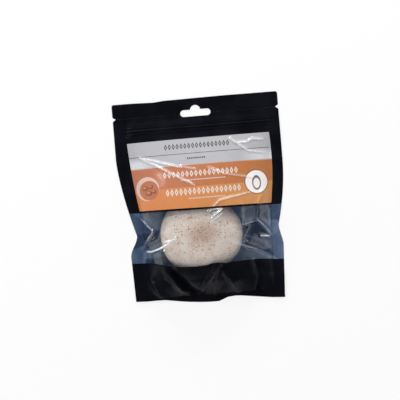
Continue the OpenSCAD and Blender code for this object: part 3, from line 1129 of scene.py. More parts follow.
def points_of(piece: Piece) -> Array:
    """Reads a piece's points.

    Args:
        piece: The piece.

    Returns:
        Rows of X, Y and Z in metres.
    """
    points = np.zeros(len(piece.data.vertices) * 3)
    piece.data.vertices.foreach_get("co", points)
    return points.reshape(-1, 3)


def plan_points(piece: Piece) -> Pair:
    """Returns plan X and Y of a piece's points, in millimetres."""
    x, y, _ = points_of(piece).T / MM
    return x, y


def lay_flat_map(piece: Piece) -> None:
    """Stores each corner's rest X and Y as a map, so that finishes stay on the film.

    Args:
        piece: The piece.
    """
    mesh = piece.data
    corner = np.zeros(len(mesh.loops), dtype=np.int64)
    mesh.loops.foreach_get("vertex_index", corner)
    flat = points_of(piece)[corner, :2] / (MAP_MM * MM) + 0.5
    mesh.uv_layers.new(name="plan").uv.foreach_set("vector", flat.ravel())


def store(piece: Piece, name: str, found: Callable[[Array, Array], Array]) -> None:
    """Stores a value of plan X and Y at a piece's points, for its finish to read."""
    values = found(*plan_points(piece)).astype(np.float32)
    piece.data.attributes.new(name, "FLOAT", "POINT").data.foreach_set("value", values)


def crease_glint_at(x: Array, y: Array) -> Array:
    """Returns the painted glints along the film's creases: white painted where they catch the
    light.
    """
    return np.maximum.reduce([fold.wear(x, y) for fold in LABEL_FOLDS + WINDOW_FOLDS])


def facet_light_at(x: Array, y: Array) -> Array:
    """Returns the window facets' painted light: -1 for painted shade, 1 for painted reflection."""
    return sum(pane.at(x, y) for pane in PAINTED_FACETS)


def unit_normals(points: Array) -> Array:
    """Returns the unit normals of a grid of points."""
    normal = np.cross(np.gradient(points, axis=1), np.gradient(points, axis=0))
    return normal / np.linalg.norm(normal, axis=-1, keepdims=True)


def shade(piece: Piece, angle: float = 40.0) -> None:
    """Shades a piece smooth, and sharp where faces turn by more than the angle."""
    piece.data.shade_smooth()
    piece.data.set_sharp_from_angle(angle=math.radians(angle))


def sheet(name: str, under: Array, thick: float, two_faced: bool = False) -> Piece:
    """Makes a closed sheet of film whose underside is a grid of points.

    Args:
        name: The piece's name.
        under: Rows of points in millimetres.
        thick: Thickness of the sheet.
        two_faced: Whether the underside takes a second material.

    Returns:
        The piece, with its flat map.
    """
    rows, cols = under.shape[:2]
    over = under + unit_normals(under) * thick
    count = rows * cols
    index = np.arange(count).reshape(rows, cols)
    a, b, c, d = index[:-1, :-1], index[:-1, 1:], index[1:, 1:], index[1:, :-1]
    top = np.stack([a, b, c, d], -1).reshape(-1, 4) + count
    low = np.stack([a, d, c, b], -1).reshape(-1, 4)
    ring = np.concatenate([index[0, :-1], index[:-1, -1], index[-1, :0:-1], index[:0:-1, 0]])
    after = np.roll(ring, -1)
    wall = np.stack([ring, after, after + count, ring + count], -1)
    faces = np.concatenate([top, wall, low])
    points = np.concatenate([under.reshape(-1, 3), over.reshape(-1, 3)])
    piece = add_mesh(name, points, faces.tolist())
    if two_faced:
        slots = np.zeros(len(faces), dtype=np.int32)
        slots[len(top):] = 1
        piece.data.polygons.foreach_set("material_index", slots)
    lay_flat_map(piece)
    shade(piece)
    return piece


def ring_faces(rings: int, count: int, first: int = 0) -> list[list[int]]:
    """Returns the faces between rings of points.

    Args:
        rings: How many rings follow each other.
        count: How many points each ring has.
        first: Index of the first ring's first point.

    Returns:
        Four point indices for each face.
    """
    faces = []
    for ring in range(rings - 1):
        low = first + ring * count
        high = low + count
        for j in range(count):
            after = (j + 1) % count
            faces.append([low + j, high + j, high + after, low + after])
    return faces


def loft(name: str, rings: Array) -> Piece:
    """Makes a closed bar through rings of points.

    Args:
        name: The piece's name.
        rings: For each station its ring of points, in millimetres.

    Returns:
        The piece, with its flat map.
    """
    stations, count = rings.shape[:2]
    last = (stations - 1) * count
    caps = [list(range(count)), [last + j for j in reversed(range(count))]]
    piece = add_mesh(name, rings.reshape(-1, 3), ring_faces(stations, count) + caps)
    lay_flat_map(piece)
    shade(piece)
    return piece


@dataclass(frozen=True)
class HangHole:
    """The hole that the pouch hangs from: a round-ended slot with a round top."""

    centre_y: float = 85.0
    width: float = 29.4
    height: float = 6.6
    top_r: float = 5.0
    top_rise: float = 4.3
    arc_steps: int = 20
    reach_z: Point = (-5.0, 8.0)

    def outline(self) -> list[Point]:
        """Works out the hole's outline.

        Returns:
            Its points, anticlockwise.
        """
        r, straight = self.height / 2, (self.width - self.height) / 2
        top_y = r + self.top_rise - self.top_r
        tilt = math.degrees(math.asin((r - top_y) / self.top_r))
        arcs = (
            (straight, 0.0, r, -90, 90),
            (0.0, top_y, self.top_r, tilt, 180 - tilt),
            (-straight, 0.0, r, 90, 270),
        )
        points = []
        for x, y, radius, start, stop in arcs:
            for i in range(self.arc_steps + 1):
                angle = math.radians(mix(start, stop, i / self.arc_steps))
                rise = radius * math.sin(angle)
                points.append((x + radius * math.cos(angle), self.centre_y + y + rise))
        return points

    def cut(self, piece: Piece) -> None:
        """Cuts the hole out of a piece.

        Args:
            piece: The piece.
        """
        outline = self.outline()
        count = len(outline)
        points = np.array([(x, y, z) for z in self.reach_z for x, y in outline])
        walls = [[i, (i + 1) % count, count + (i + 1) % count, count + i] for i in range(count)]
        caps = [list(range(count))[::-1], list(range(count, 2 * count))]
        cutter = add_mesh("hole_cutter", points, walls + caps)
        cut = piece.modifiers.new("hole", "BOOLEAN")
        cut.operation, cut.solver, cut.object = "DIFFERENCE", "EXACT", cutter
        graph = bpy.context.evaluated_depsgraph_get()
        mesh = bpy.data.meshes.new_from_object(piece.evaluated_get(graph))
        piece.modifiers.clear()
        piece.data = mesh
        shade(piece)
        bpy.data.objects.remove(cutter)


class Wire:
    """A shader value that can be used in Python expressions."""

    def __init__(self, shader: "Shader", socket: bpy.types.NodeSocket) -> None:
        """Keeps the shader that the socket belongs to."""
        self.shader = shader
        self.socket = socket

    def math(self, operation: str, *others: Any) -> "Wire":
        """Returns the result of a Math node on this value and others."""
        return self.shader.maths(operation, self, *others)

    def __add__(self, other: Any) -> "Wire":
        """Adds a value."""
        return self.math("ADD", other)

    __radd__ = __add__

    def __mul__(self, other: Any) -> "Wire":
        """Multiplies by a value."""
        return self.math("MULTIPLY", other)

    __rmul__ = __mul__

    def __sub__(self, other: Any) -> "Wire":
        """Takes a value away."""
        return self.math("SUBTRACT", other)

    def __rsub__(self, other: Any) -> "Wire":
        """Takes this away from a value."""
        return self.shader.maths("SUBTRACT", other, self)

    def __truediv__(self, other: Any) -> "Wire":
        """Divides by a value."""
        return self.math("DIVIDE", other)

    def __pow__(self, other: Any) -> "Wire":
        """Raises to a power."""
        return self.math("POWER", other)

    def __abs__(self) -> "Wire":
        """Drops the sign."""
        return self.math("ABSOLUTE")

    def most(self, other: Any) -> "Wire":
        """Returns the larger of two values."""
        return self.math("MAXIMUM", other)

    def step(self, low: float, high: float) -> "Wire":
        """Adds a soft step from 0 to 1.

        Args:
            low: Where it is 0.
            high: Where it is 1, which may lie below low.

        Returns:
            The step.
        """
        flip = low > high
        settings = {"interpolation_type": "SMOOTHSTEP"}
        return self.shader.out("Result", "ShaderNodeMapRange", settings, {
            "Value": self, "From Min": min(low, high), "From Max": max(low, high),
            "To Min": float(flip), "To Max": float(not flip)})


def distance(x: Wire, y: Wire) -> Wire:
    """Returns how long a shift in X and Y is."""
    return (x**2.0 + y**2.0) ** 0.5


class Shader:
    """A material or world being wired up, with one method that makes its nodes."""

    def __init__(self, owner: Material | bpy.types.World) -> None:
        """Clears the nodes of a new material or world.

        Args:
            owner: The material or world.
        """
        owner.use_nodes = True
        self.owner = owner
        self.tree = owner.node_tree
        self.tree.nodes.clear()

    def node(self, kind: str, settings: Settings = None, values: Sockets = None) -> Node:
        """Makes a node.

        Args:
            kind: The node's type.
            settings: Its properties.
            values: What its input sockets hold or are linked to.

        Returns:
            The node.
        """
        node = self.tree.nodes.new(kind)
        for key, value in (settings or {}).items():
            setattr(node, key, value)
        for key, value in (values or {}).items():
            socket = node.inputs[key]
            if isinstance(value, Wire):
                self.tree.links.new(value.socket, socket)
            elif socket.type == "RGBA" and len(value) == 3:
                socket.default_value = (*value, 1.0)
            else:
                socket.default_value = value
        return node

    def out(self, output: str | int, kind: str, settings: Settings = None,
            values: Sockets = None) -> Wire:
        """Makes a node and returns one of its outputs, by name or number."""
        return Wire(self, self.node(kind, settings, values).outputs[output])

    def maths(self, operation: str, *values: Any) -> Wire:
        """Returns the result of a Math node."""
        return self.out(0, "ShaderNodeMath", {"operation": operation}, dict(enumerate(values)))

    def parts(self, vector: Wire) -> tuple[Wire, Wire, Wire]:
        """Returns a vector's X, Y and Z."""
        node = self.node("ShaderNodeSeparateXYZ", values={0: vector})
        return tuple(Wire(self, socket) for socket in node.outputs)

    def plan(self) -> tuple[Wire, Wire, Wire]:
        """Reads the flat map.

        Returns:
            X and Y in millimetres, and both as a vector.
        """
        flat = self.out(0, "ShaderNodeUVMap", {"uv_map": "plan"})
        vector = self.out(0, "ShaderNodeVectorMath", {"operation": "MULTIPLY_ADD"}, {
            0: flat, 1: (MAP_MM, MAP_MM, 0.0), 2: (-MAP_MM / 2, -MAP_MM / 2, 0.0)})
        x, y, _ = self.parts(vector)
        return x, y, vector

    def rays(self) -> tuple[Wire, Wire, Wire]:
        """Tells rays apart.

        Returns:
            Whether a ray is the camera's, a reflection, or seen through film.
        """
        path = self.node("ShaderNodeLightPath")
        kinds = ("Camera", "Glossy", "Transmission")
        return tuple(Wire(self, path.outputs[f"Is {kind} Ray"]) for kind in kinds)

    def stored(self, name: str) -> Wire:
        """Returns a value that is stored at the mesh's points."""
        return self.out("Fac", "ShaderNodeAttribute", {"attribute_name": name})

    def painted_glint(self, vector: Wire) -> Wire:
        """Returns the painted glint along the creases, broken up by noise."""
        return self.stored("wear") * self.noise(vector, 0.5).step(0.25, 0.5)

    def noise(self, vector: Wire, scale: float, detail: float = 2.0, rough: float = 0.5) -> Wire:
        """Returns noise of 0 to 1 over a vector."""
        return self.out("Fac", "ShaderNodeTexNoise", values={
            "Vector": vector, "Scale": scale, "Detail": detail, "Roughness": rough})

    def cells(self, vector: Wire, scale: float) -> tuple[Wire, Wire]:
        """Returns the distance to the nearest cell's middle, and the cell's colour."""
        node = self.node("ShaderNodeTexVoronoi", values={"Vector": vector, "Scale": scale})
        return Wire(self, node.outputs["Distance"]), Wire(self, node.outputs["Color"])

    def tint(self, share: Wire, low: Wire | Colour, high: Wire | Colour) -> Wire:
        """Returns the colour a share of the way from low to high."""
        return self.out(2, "ShaderNodeMix", {"data_type": "RGBA"}, {0: share, 6: low, 7: high})

    def painted_facet_light(self, middle: Wire) -> Wire:
        """Darkens a window colour for painted shade and pales it for painted reflection, as its
        facet is.

        Args:
            middle: The colour of a facet that is neither.

        Returns:
            The colour.
        """
        tone = self.stored("tone")
        # Painted shade towards deep blue, painted reflection towards pale blue-grey.
        facet_shade = self.tint((0 - tone).most(0.0), middle, srgb(34, 50, 80))
        return self.tint(tone.most(0.0), facet_shade, srgb(170, 182, 204))

    def bump(self, height: Wire, depth: float, strength: float = 1.0) -> Wire:
        """Returns a normal raised by a height of 0 to 1, depth in metres."""
        return self.out(0, "ShaderNodeBump", values={
            "Height": height, "Distance": depth, "Strength": strength})

    def surface(self, **values: Any) -> Material:
        """Ends the material in one Principled shader.

        Args:
            values: What its sockets hold, named with _ for a space.

        Returns:
            The material.
        """
        named = {key.replace("_", " "): value for key, value in values.items()}
        principled = self.out(0, "ShaderNodeBsdfPrincipled", values=named)
        self.node("ShaderNodeOutputMaterial", values={"Surface": principled})
        return self.owner


class Finish:
    """A finish, made once and shared by the pieces that have it."""

    made: dict[str, Material] = {}

    def material(self) -> Material:
        """Makes the material, the first time that it is asked for.

        Returns:
            The material.
        """
        name = type(self).__name__
        if name not in Finish.made:
            Finish.made[name] = self.build(Shader(bpy.data.materials.new(name)))
        return Finish.made[name]

    def build(self, shader: Shader) -> Material:
        """Wires the material up in a shader that has no nodes yet."""
        raise NotImplementedError


@dataclass(frozen=True)
class BlackFilm(Finish):
    """Satin black film, printed on its inside, with a fine orange-peel."""

    colour: Colour = srgb(11, 12, 18)
    mottle_and_glint: Colour = srgb(19, 20, 27)
    gloss: float = 0.3

    def build(self, shader: Shader) -> Material:
        """Wires the material up.

        Args:
            shader: The new material.

        Returns:
            The material.
        """
        _, _, plan = shader.plan()
        slow = shader.noise(plan, 0.05, 3.0)
        fine = shader.noise(plan, 1.6)
        return shader.surface(
            Base_Color=shader.tint(slow.step(0.35, 0.75), self.colour, self.mottle_and_glint),
            Roughness=self.gloss - 0.06 + slow * 0.12,
            Specular_IOR_Level=0.1,
            Normal=shader.bump(slow * 0.9 + fine * 0.06, 0.0004, 0.5),
        )


@dataclass(frozen=True)
class ClearFilm(Finish):
    """The window's clear film: thin, glossy, with a trace of haze."""

    colour: Colour = srgb(46, 62, 88)
    paler: Colour = srgb(62, 78, 104)
    # The white and the opacity below paint the creases' glints: painted highlights.
    white: Colour = srgb(246, 248, 252)
    alpha: float = 0.12
    glint_alpha: float = 0.95

    def build(self, shader: Shader) -> Material:
        """Wires the material up.

        Args:
            shader: The new material.

        Returns:
            The material.
        """
        _, _, plan = shader.plan()
        slow = shader.noise(plan, 0.09, 3.0)
        wear = shader.painted_glint(plan)
        tinged = shader.tint(slow, self.colour, self.paler)
        return shader.surface(
            # Painted glints: white, nearly opaque film along the creases.
            Base_Color=shader.tint(wear.step(0.0, 0.12), tinged, self.white),
            Roughness=0.05 + slow * 0.05,
            Alpha=self.alpha + wear * (self.glint_alpha - self.alpha),
            IOR=2.6, Specular_IOR_Level=1.0,
            Normal=shader.bump(slow, 0.0006, 0.4),
        )


@dataclass(frozen=True)
class InnerFilm(Finish):
    """The blue-grey inner face of the back film, seen through the window."""

    colour: Colour = srgb(96, 122, 154)
    deep: Colour = srgb(68, 90, 116)

    def build(self, shader: Shader) -> Material:
        """Wires the material up.

        Args:
            shader: The new material.

        Returns:
            The material.
        """
        _, _, plan = shader.plan()
        slow = shader.noise(plan, 0.04)
        fine = shader.noise(plan, 0.4, 3.0)
        return shader.surface(
            # The facets' painted shade and painted reflection go on the inner face's blue.
            Base_Color=shader.painted_facet_light(shader.tint(slow.step(0.35, 0.65), self.deep, self.colour)),
            Roughness=0.32 + fine * 0.1, Metallic=0.35, Specular_IOR_Level=0.5,
            Normal=shader.bump(slow + fine * 0.1, 0.0008, 0.6),
        )


@dataclass(frozen=True)
class SealFilm(Finish):
    """The window's welded edges: both films in one, a paler blue than the back."""

    colour: Colour = srgb(88, 108, 138)
    deep: Colour = srgb(62, 84, 116)

    def build(self, shader: Shader) -> Material:
        """Wires the material up.

        Args:
            shader: The new material.

        Returns:
            The material.
        """
        _, _, plan = shader.plan()
        slow = shader.noise(plan, 0.07, 3.0)
        return shader.surface(
            # The facets' painted shade and painted reflection go on the seals' blue.
            Base_Color=shader.painted_facet_light(shader.tint(slow.step(0.35, 0.7), self.deep, self.colour)),
            Roughness=0.28 + slow * 0.14, Metallic=0.15, Specular_IOR_Level=0.5,
            Normal=shader.bump(slow, 0.0006, 0.6),
        )


@dataclass(frozen=True)
class TrackPlastic(Finish):
    """The zip track's black polythene, drawn along its length."""

    colour: Colour = srgb(20, 20, 24)
    streaked: Colour = srgb(34, 34, 38)

    def build(self, shader: Shader) -> Material:
        """Wires the material up.

        Args:
            shader: The new material.

        Returns:
            The material.
        """
        x, y, _ = shader.plan()
        drawn = shader.out(0, "ShaderNodeCombineXYZ", values={0: x * 0.02, 1: y})
        streak = shader.noise(drawn, 2.4)
        return shader.surface(
            Base_Color=shader.tint(streak, self.colour, self.streaked),
            Roughness=0.3 + streak * 0.15, Specular_IOR_Level=0.5,
            Normal=shader.bump(streak, 0.0002, 0.5),
        )


@dataclass(frozen=True)
class Disc:
    """A disc or upright oval printed on the label."""

    centre: Point
    radius: float
    paint: Colour
    squash: float = 1.0

    def mask(self, x: Wire, y: Wire) -> Wire:
        """Returns the mask of the disc, soft at its edge."""
        away = distance(x - self.centre[0], (y - self.centre[1]) * self.squash)
        return away.step(self.radius + 0.3, self.radius - 0.3)

    @classmethod
    def drop(cls, centre: Point, radius: float) -> tuple["Disc", "Disc"]:
        """Makes a drop of two ovals.

        Args:
            centre: Its middle.
            radius: Its half width.

        Returns:
            The dark oval and the light one on it.
        """
        glint = (centre[0] - 0.5, centre[1] + 0.5)
        return (cls(centre, radius, srgb(132, 70, 42), 1.3),
                cls(glint, radius * 0.6, srgb(186, 124, 84), 1.4))


@dataclass(frozen=True)
class LabelPrint(Finish):
    """The glossy label: a pale head over two orange bands, with plain motifs."""

    pale: Colour = srgb(170, 170, 174)
    salmon: Colour = srgb(178, 109, 79)
    gold: Colour = srgb(178, 107, 52)
    low_left: Colour = srgb(202, 123, 70)
    low_right: Colour = srgb(196, 134, 74)
    ink: Colour = srgb(50, 46, 48)
    white: Colour = srgb(210, 204, 200)
    # Colour of the painted sheen and of the painted glints along the creases.
    mottle_and_glint: Colour = srgb(240, 240, 244)

    DISCS: ClassVar[tuple[Disc, ...]] = (
        Disc((52.9, 13.5), 11.8, srgb(116, 82, 62)),
        Disc((52.9, 13.5), 10.9, srgb(238, 231, 229)),
        Disc((52.9, 12.6), 4.4, srgb(104, 97, 97), 0.62),
        Disc((52.9, 12.2), 3.2, srgb(238, 231, 229), 0.66),
        Disc((-51.7, 14.8), 11.4, srgb(205, 179, 164)),
        Disc((-50.2, 13.2), 9.4, srgb(176, 104, 75)),
    )
    DROPS: ClassVar[tuple[tuple[Point, float], ...]] = (
        ((-54.0, 15.5), 2.9), ((-48.4, 16.6), 2.5), ((-50.6, 10.6), 3.1), ((-45.6, 11.6), 2.2),
    )

    def build(self, shader: Shader) -> Material:
        """Wires the material up.

        Args:
            shader: The new material.

        Returns:
            The material.
        """
        x, y, plan = shader.plan()
        share = x.step(-66.0, 68.0)
        mottle = shader.noise(plan, 0.12, 3.0)
        upper = shader.tint(share, self.salmon, self.gold)
        lower = shader.tint(share, self.low_left, self.low_right)
        body = shader.tint(y.step(13.9, 13.3), upper, lower)
        colour = shader.tint(y.step(34.3, 34.7), body, self.pale)
        for mask, paint in self.motifs(x, y):
            colour = shader.tint(mask, colour, paint)
        colour = shader.tint(mottle * 0.06, colour, self.white)
        # Painted sheen on the outer parts of the pale head and painted glints along the creases,
        # both in white.
        sheen = abs(x).step(35.0, 62.0) * y.step(46.0, 39.0) * y.step(33.0, 36.0) * 0.45
        colour = shader.tint(shader.painted_glint(plan).most(sheen), colour, self.mottle_and_glint)
        return shader.surface(
            Base_Color=colour, Roughness=0.24 + mottle * 0.08, Specular_IOR_Level=0.25,
            Coat_Weight=0.25, Coat_Roughness=0.08,
            Normal=shader.bump(mottle, 0.0003, 0.4),
        )

    def bar(self, x: Wire, y: Wire, centre: Point, half: Point, soft: float = 0.25) -> Wire:
        """Works out the mask of a bar with round corners.

        Args:
            x: Plan X.
            y: Plan Y.
            centre: Middle of the bar.
            half: Half its length and half its width.
            soft: Half width of its soft edge.

        Returns:
            The bar's mask.
        """
        across = (abs(x - centre[0]) - half[0] + half[1]).most(0.0)
        away = (across * across + (y - centre[1]) ** 2.0) ** 0.5
        return away.step(half[1] + soft, half[1] - soft)

    def chain(self, x: Wire, y: Wire, centre: Point, count: int, size: Point,
              hollow: float) -> Wire:
        """Works out the mask of a row of lozenges.

        Args:
            x: Plan X.
            y: Plan Y.
            centre: Middle of the row.
            count: How many lozenges, an odd number.
            size: Half width and half height of a lozenge.
            hollow: Share of each lozenge that is left out in its middle.

        Returns:
            The row's mask.
        """
        soft, pitch = 0.1, size[0] * 2.5
        end = count * pitch / 2
        along = (x - centre[0]).math("PINGPONG", pitch / 2)
        away = along / size[0] + abs(y - centre[1]) / size[1]
        ring = away.step(1 + soft, 1 - soft) - away.step(hollow + soft, hollow - soft)
        return ring * abs(x - centre[0]).step(end + soft, end - soft)

    def motifs(self, x: Wire, y: Wire) -> list[tuple[Wire, Colour]]:
        """Wires the printed motifs up.

        Args:
            x: Plan X.
            y: Plan Y.

        Returns:
            Masks and colours, in painting order.
        """
        found = [(self.bar(x, y, (0.0, 45.8), (68.0, 0.25)), self.ink)]
        for centre, count, size, hollow, paint in (
            ((-1.5, 53.2), 17, (1.5, 3.0), 0.45, self.ink),
            ((-3.0, 41.0), 9, (0.8, 1.2), -0.2, self.ink),
            ((0.0, 26.2), 17, (1.7, 3.3), 0.4, self.white),
            ((2.0, 20.2), 31, (0.55, 0.7), -0.2, self.white),
            ((1.5, 9.2), 17, (1.7, 3.6), 0.4, self.white),
            ((4.0, 2.6), 25, (0.55, 0.7), -0.2, self.white),
        ):
            found.append((self.chain(x, y, centre, count, size, hollow), paint))
        discs = [*self.DISCS]
        for centre, radius in self.DROPS:
            discs += Disc.drop(centre, radius)
        return found + [(disc.mask(x, y), disc.paint) for disc in discs]


@dataclass(frozen=True)
class SpongeGel(Finish):
    """Konjac foam: pale, matt, full of small pores, flecked with walnut."""

    pale: Colour = srgb(253, 240, 227)
    warm: Colour = srgb(200, 160, 138)
    fleck: Colour = srgb(138, 104, 78)
    rust: Colour = srgb(172, 126, 98)
    # Colour of the painted shade.
    shaded: Colour = srgb(112, 116, 124)

    def build(self, shader: Shader) -> Material:
        """Wires the material up.

        Args:
            shader: The new material.

        Returns:
            The material.
        """
        place = shader.out(0, "ShaderNodeVectorMath", {"operation": "SCALE"}, {
            0: shader.out("Object", "ShaderNodeTexCoord"), 3: 1 / MM})
        x, y, _ = shader.parts(place)
        middle = distance(x + 3.0, y + 31.0).step(20.0, 0.0)
        rim = distance(x + 4.0, y + 33.5).step(33.0, 40.5)
        slow = shader.noise(place, 0.11, 4.0, 0.6)
        fine = shader.noise(place, 1.1, 4.0, 0.7)
        pores, _ = shader.cells(place, 0.9)
        colour = shader.tint(slow.step(0.35, 0.8) * 0.35 + middle * 0.6, self.pale, self.warm)
        for scale, size, paint in (
            (0.42, 0.26, self.fleck), (0.27, 0.22, self.rust), (0.6, 0.26, self.rust),
        ):
            away, hue = shader.cells(place, scale)
            lucky = shader.out(0, "ShaderNodeSeparateColor", values={0: hue})
            mask = (away + fine * 0.1).step(size + 0.1, size)
            mask = mask * (lucky + middle * 0.5).step(0.72, 0.88)
            colour = shader.tint(mask * 0.7, colour, paint)
        # Painted shade: darker round the rim and more on the right, towards the bottom where the
        # skirt shades it, and under the label's lower edge.
        under = rim * (0.4 + x.step(0.0, 34.0) * 0.25) + y.step(-50.0, -63.0) * 0.3
        under = under + y.step(-21.0, -10.0) * x.step(-8.0, 14.0) * 0.35
        colour = shader.tint(under, colour, self.shaded)
        return shader.surface(
            Base_Color=colour, Roughness=0.72 + fine * 0.2, Specular_IOR_Level=0.3,
            Subsurface_Weight=0.15, Subsurface_Radius=(0.004, 0.0025, 0.002),
            Subsurface_Scale=1.0,
            Normal=shader.bump(pores * 0.5 + fine * 0.7, 0.0009, 0.8),
        )


@dataclass(frozen=True)
class WalnutShell(Finish):
    """Crushed walnut shell: brown grains with a mottled, matt surface."""

    dark: Colour = srgb(136, 90, 64)
    brown: Colour = srgb(186, 130, 98)
    tan: Colour = srgb(204, 156, 124)

    def build(self, shader: Shader) -> Material:
        """Wires the material up.

        Args:
            shader: The new material.

        Returns:
            The material.
        """
        place = shader.out("Object", "ShaderNodeTexCoord")
        mottle = shader.noise(place, 900.0, 3.0)
        tone = shader.noise(place, 120.0, 1.0)
        colour = shader.tint(mottle, self.dark, self.brown)
        colour = shader.tint(tone.step(0.4, 0.6) * 0.6, colour, self.tan)
        return shader.surface(
            Base_Color=colour, Roughness=0.65 + mottle * 0.2,
            Normal=shader.bump(mottle, 0.0002, 0.6),
        )


@dataclass
class Flap:
    """The front film over the sponge, which lifts with the mouth."""

    film: FrontFilm
    thick: float = 0.25
    pitch: float = 0.65
    label_inset: float = 1.0
    label_gap: float = 0.03
    label_t: float = 0.14
    label_bulges: dict[Side, Point] = field(
        default_factory=lambda: {Side.LEFT: (1.2, 30.0), Side.RIGHT: (2.7, 24.0)})
    bulge_half: float = 36.0
    step_rise: float = 0.1
    step_run: float = 1.5
    fine_y: float = 76.4
    fine_pitch: float = 0.3
    lip_rows: int = 12
    lip_cols: int = 120
    most_lift: float = 0.82
    lift_run: float = 60.0
    side_power: float = 3.0

    RIDGES: ClassVar[tuple[Peak, ...]] = ((74.3, 0.34, 0.9), (71.4, 0.45, 1.0), (68.1, 0.26, 0.8))

    def lift(self, x: Array, y: Array) -> Array:
        """Works out how far points follow the flap.

        Args:
            x: Plan X.
            y: Plan Y.

        Returns:
            The share at each place, 0 where the film is sealed.
        """
        left, right = PLAN.feet(y)
        off = np.abs(2 * (x - left) / (right - left) - 1)
        rise = smooth((y - SKIRT_TOP.at(x)) / self.lift_run)
        return self.most_lift * rise * (1 - clamp01(off) ** self.side_power)

    def hang(self, piece: Piece) -> Piece:
        """Bakes a piece's placing into its points and works out how far they would follow the
        flap; the shares are not used.

        Args:
            piece: The piece.

        Returns:
            The piece.
        """
        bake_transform(piece)
        share = self.lift(*plan_points(piece)).astype(np.float32)
        return piece

    def cover(self, name: str, low: FilmLine, high: FilmLine) -> Piece:
        """Makes a piece of the free film between two lines."""
        grid = patch_grid(low, high, foot_of(Side.LEFT), foot_of(Side.RIGHT), self.pitch)
        return sheet(name, self.film.at(*grid), self.thick)

    def window(self) -> Piece:
        """Makes the clear film over the sponge.

        Returns:
            The piece.
        """
        piece = self.cover("window_film", SKIRT_TOP, WINDOW_TOP)
        # Stores the creases' painted glints for the finish.
        store(piece, "wear", crease_glint_at)
        outfit(piece, "clear_film", "front_window", ClearFilm())
        return self.hang(piece)

    def panel(self) -> Piece:
        """Makes the black film between the window and the zip.

        Returns:
            The piece.
        """
        piece = self.cover("panel_film", WINDOW_TOP, PANEL_TOP)
        outfit(piece, "black_film", "front_panel", BlackFilm())
        return self.hang(piece)

    def lip(self, hole: HangHole) -> Piece:
        """Makes the film over the zip, close-meshed where the zip's ridges show.

        Args:
            hole: The hang hole, which cuts into it.

        Returns:
            The piece.
        """
        fine = np.arange(PLAN.panel_y1, self.fine_y, self.fine_pitch)
        plain = np.linspace(self.fine_y + 0.2, PLAN.tear_y - 0.05, self.lip_rows)
        across = np.linspace(0, 1, self.lip_cols)
        y = np.repeat(np.concatenate([fine, plain])[:, None], self.lip_cols, 1)
        points = self.film.at(mix(*PLAN.feet(y), across[None]), y)
        for ridge_y, rise, half in self.RIDGES:
            points[..., 2] += rise * arch((points[..., 1] - ridge_y) / half)
        piece = sheet("lip_film", points, self.thick)
        hole.cut(piece)
        outfit(piece, "black_film", "front_lip", BlackFilm())
        return self.hang(piece)

    def label(self) -> Piece:
        """Makes the label, stuck on the panel.

        Returns:
            The piece.
        """
        edges = (self.label_edge(side, *self.label_bulges[side]) for side in Side)
        x, y = patch_grid(LABEL_LOW, LABEL_HIGH, *edges, self.pitch)
        points = self.film.at(x, y)
        left, right = PLAN.feet(y)
        past = np.maximum(x - right, left - x)
        points[..., 2] += self.step_rise * smooth(1 + past / self.step_run)
        under = points + unit_normals(points) * (self.thick + self.label_gap)
        piece = sheet("label_print", under, self.label_t)
        # Stores the creases' painted glints for the finish.
        store(piece, "wear", crease_glint_at)
        outfit(piece, "label", "front_label", LabelPrint())
        return self.hang(piece)

    def label_edge(self, side: Side, bulge: float, middle: float) -> EdgeLine:
        """Returns a side edge of the label, which bulges over the seal.

        Args:
            side: Which edge.
            bulge: How far it bulges out.
            middle: The height where it bulges most.

        Returns:
            The edge's X as a function of height.
        """

        def at(y: Array) -> Array:
            """Returns the edge's X at a height."""
            out = bulge * arch((y - middle) / self.bulge_half)
            return PLAN.foot(y, side) - side.value * (self.label_inset - out)

        return at

    def build(self, hole: HangHole) -> list[Piece]:
        """Makes the window, panel, lip and label, the lip with the hole's lower edge."""
        return [self.window(), self.panel(), self.lip(hole), self.label()]


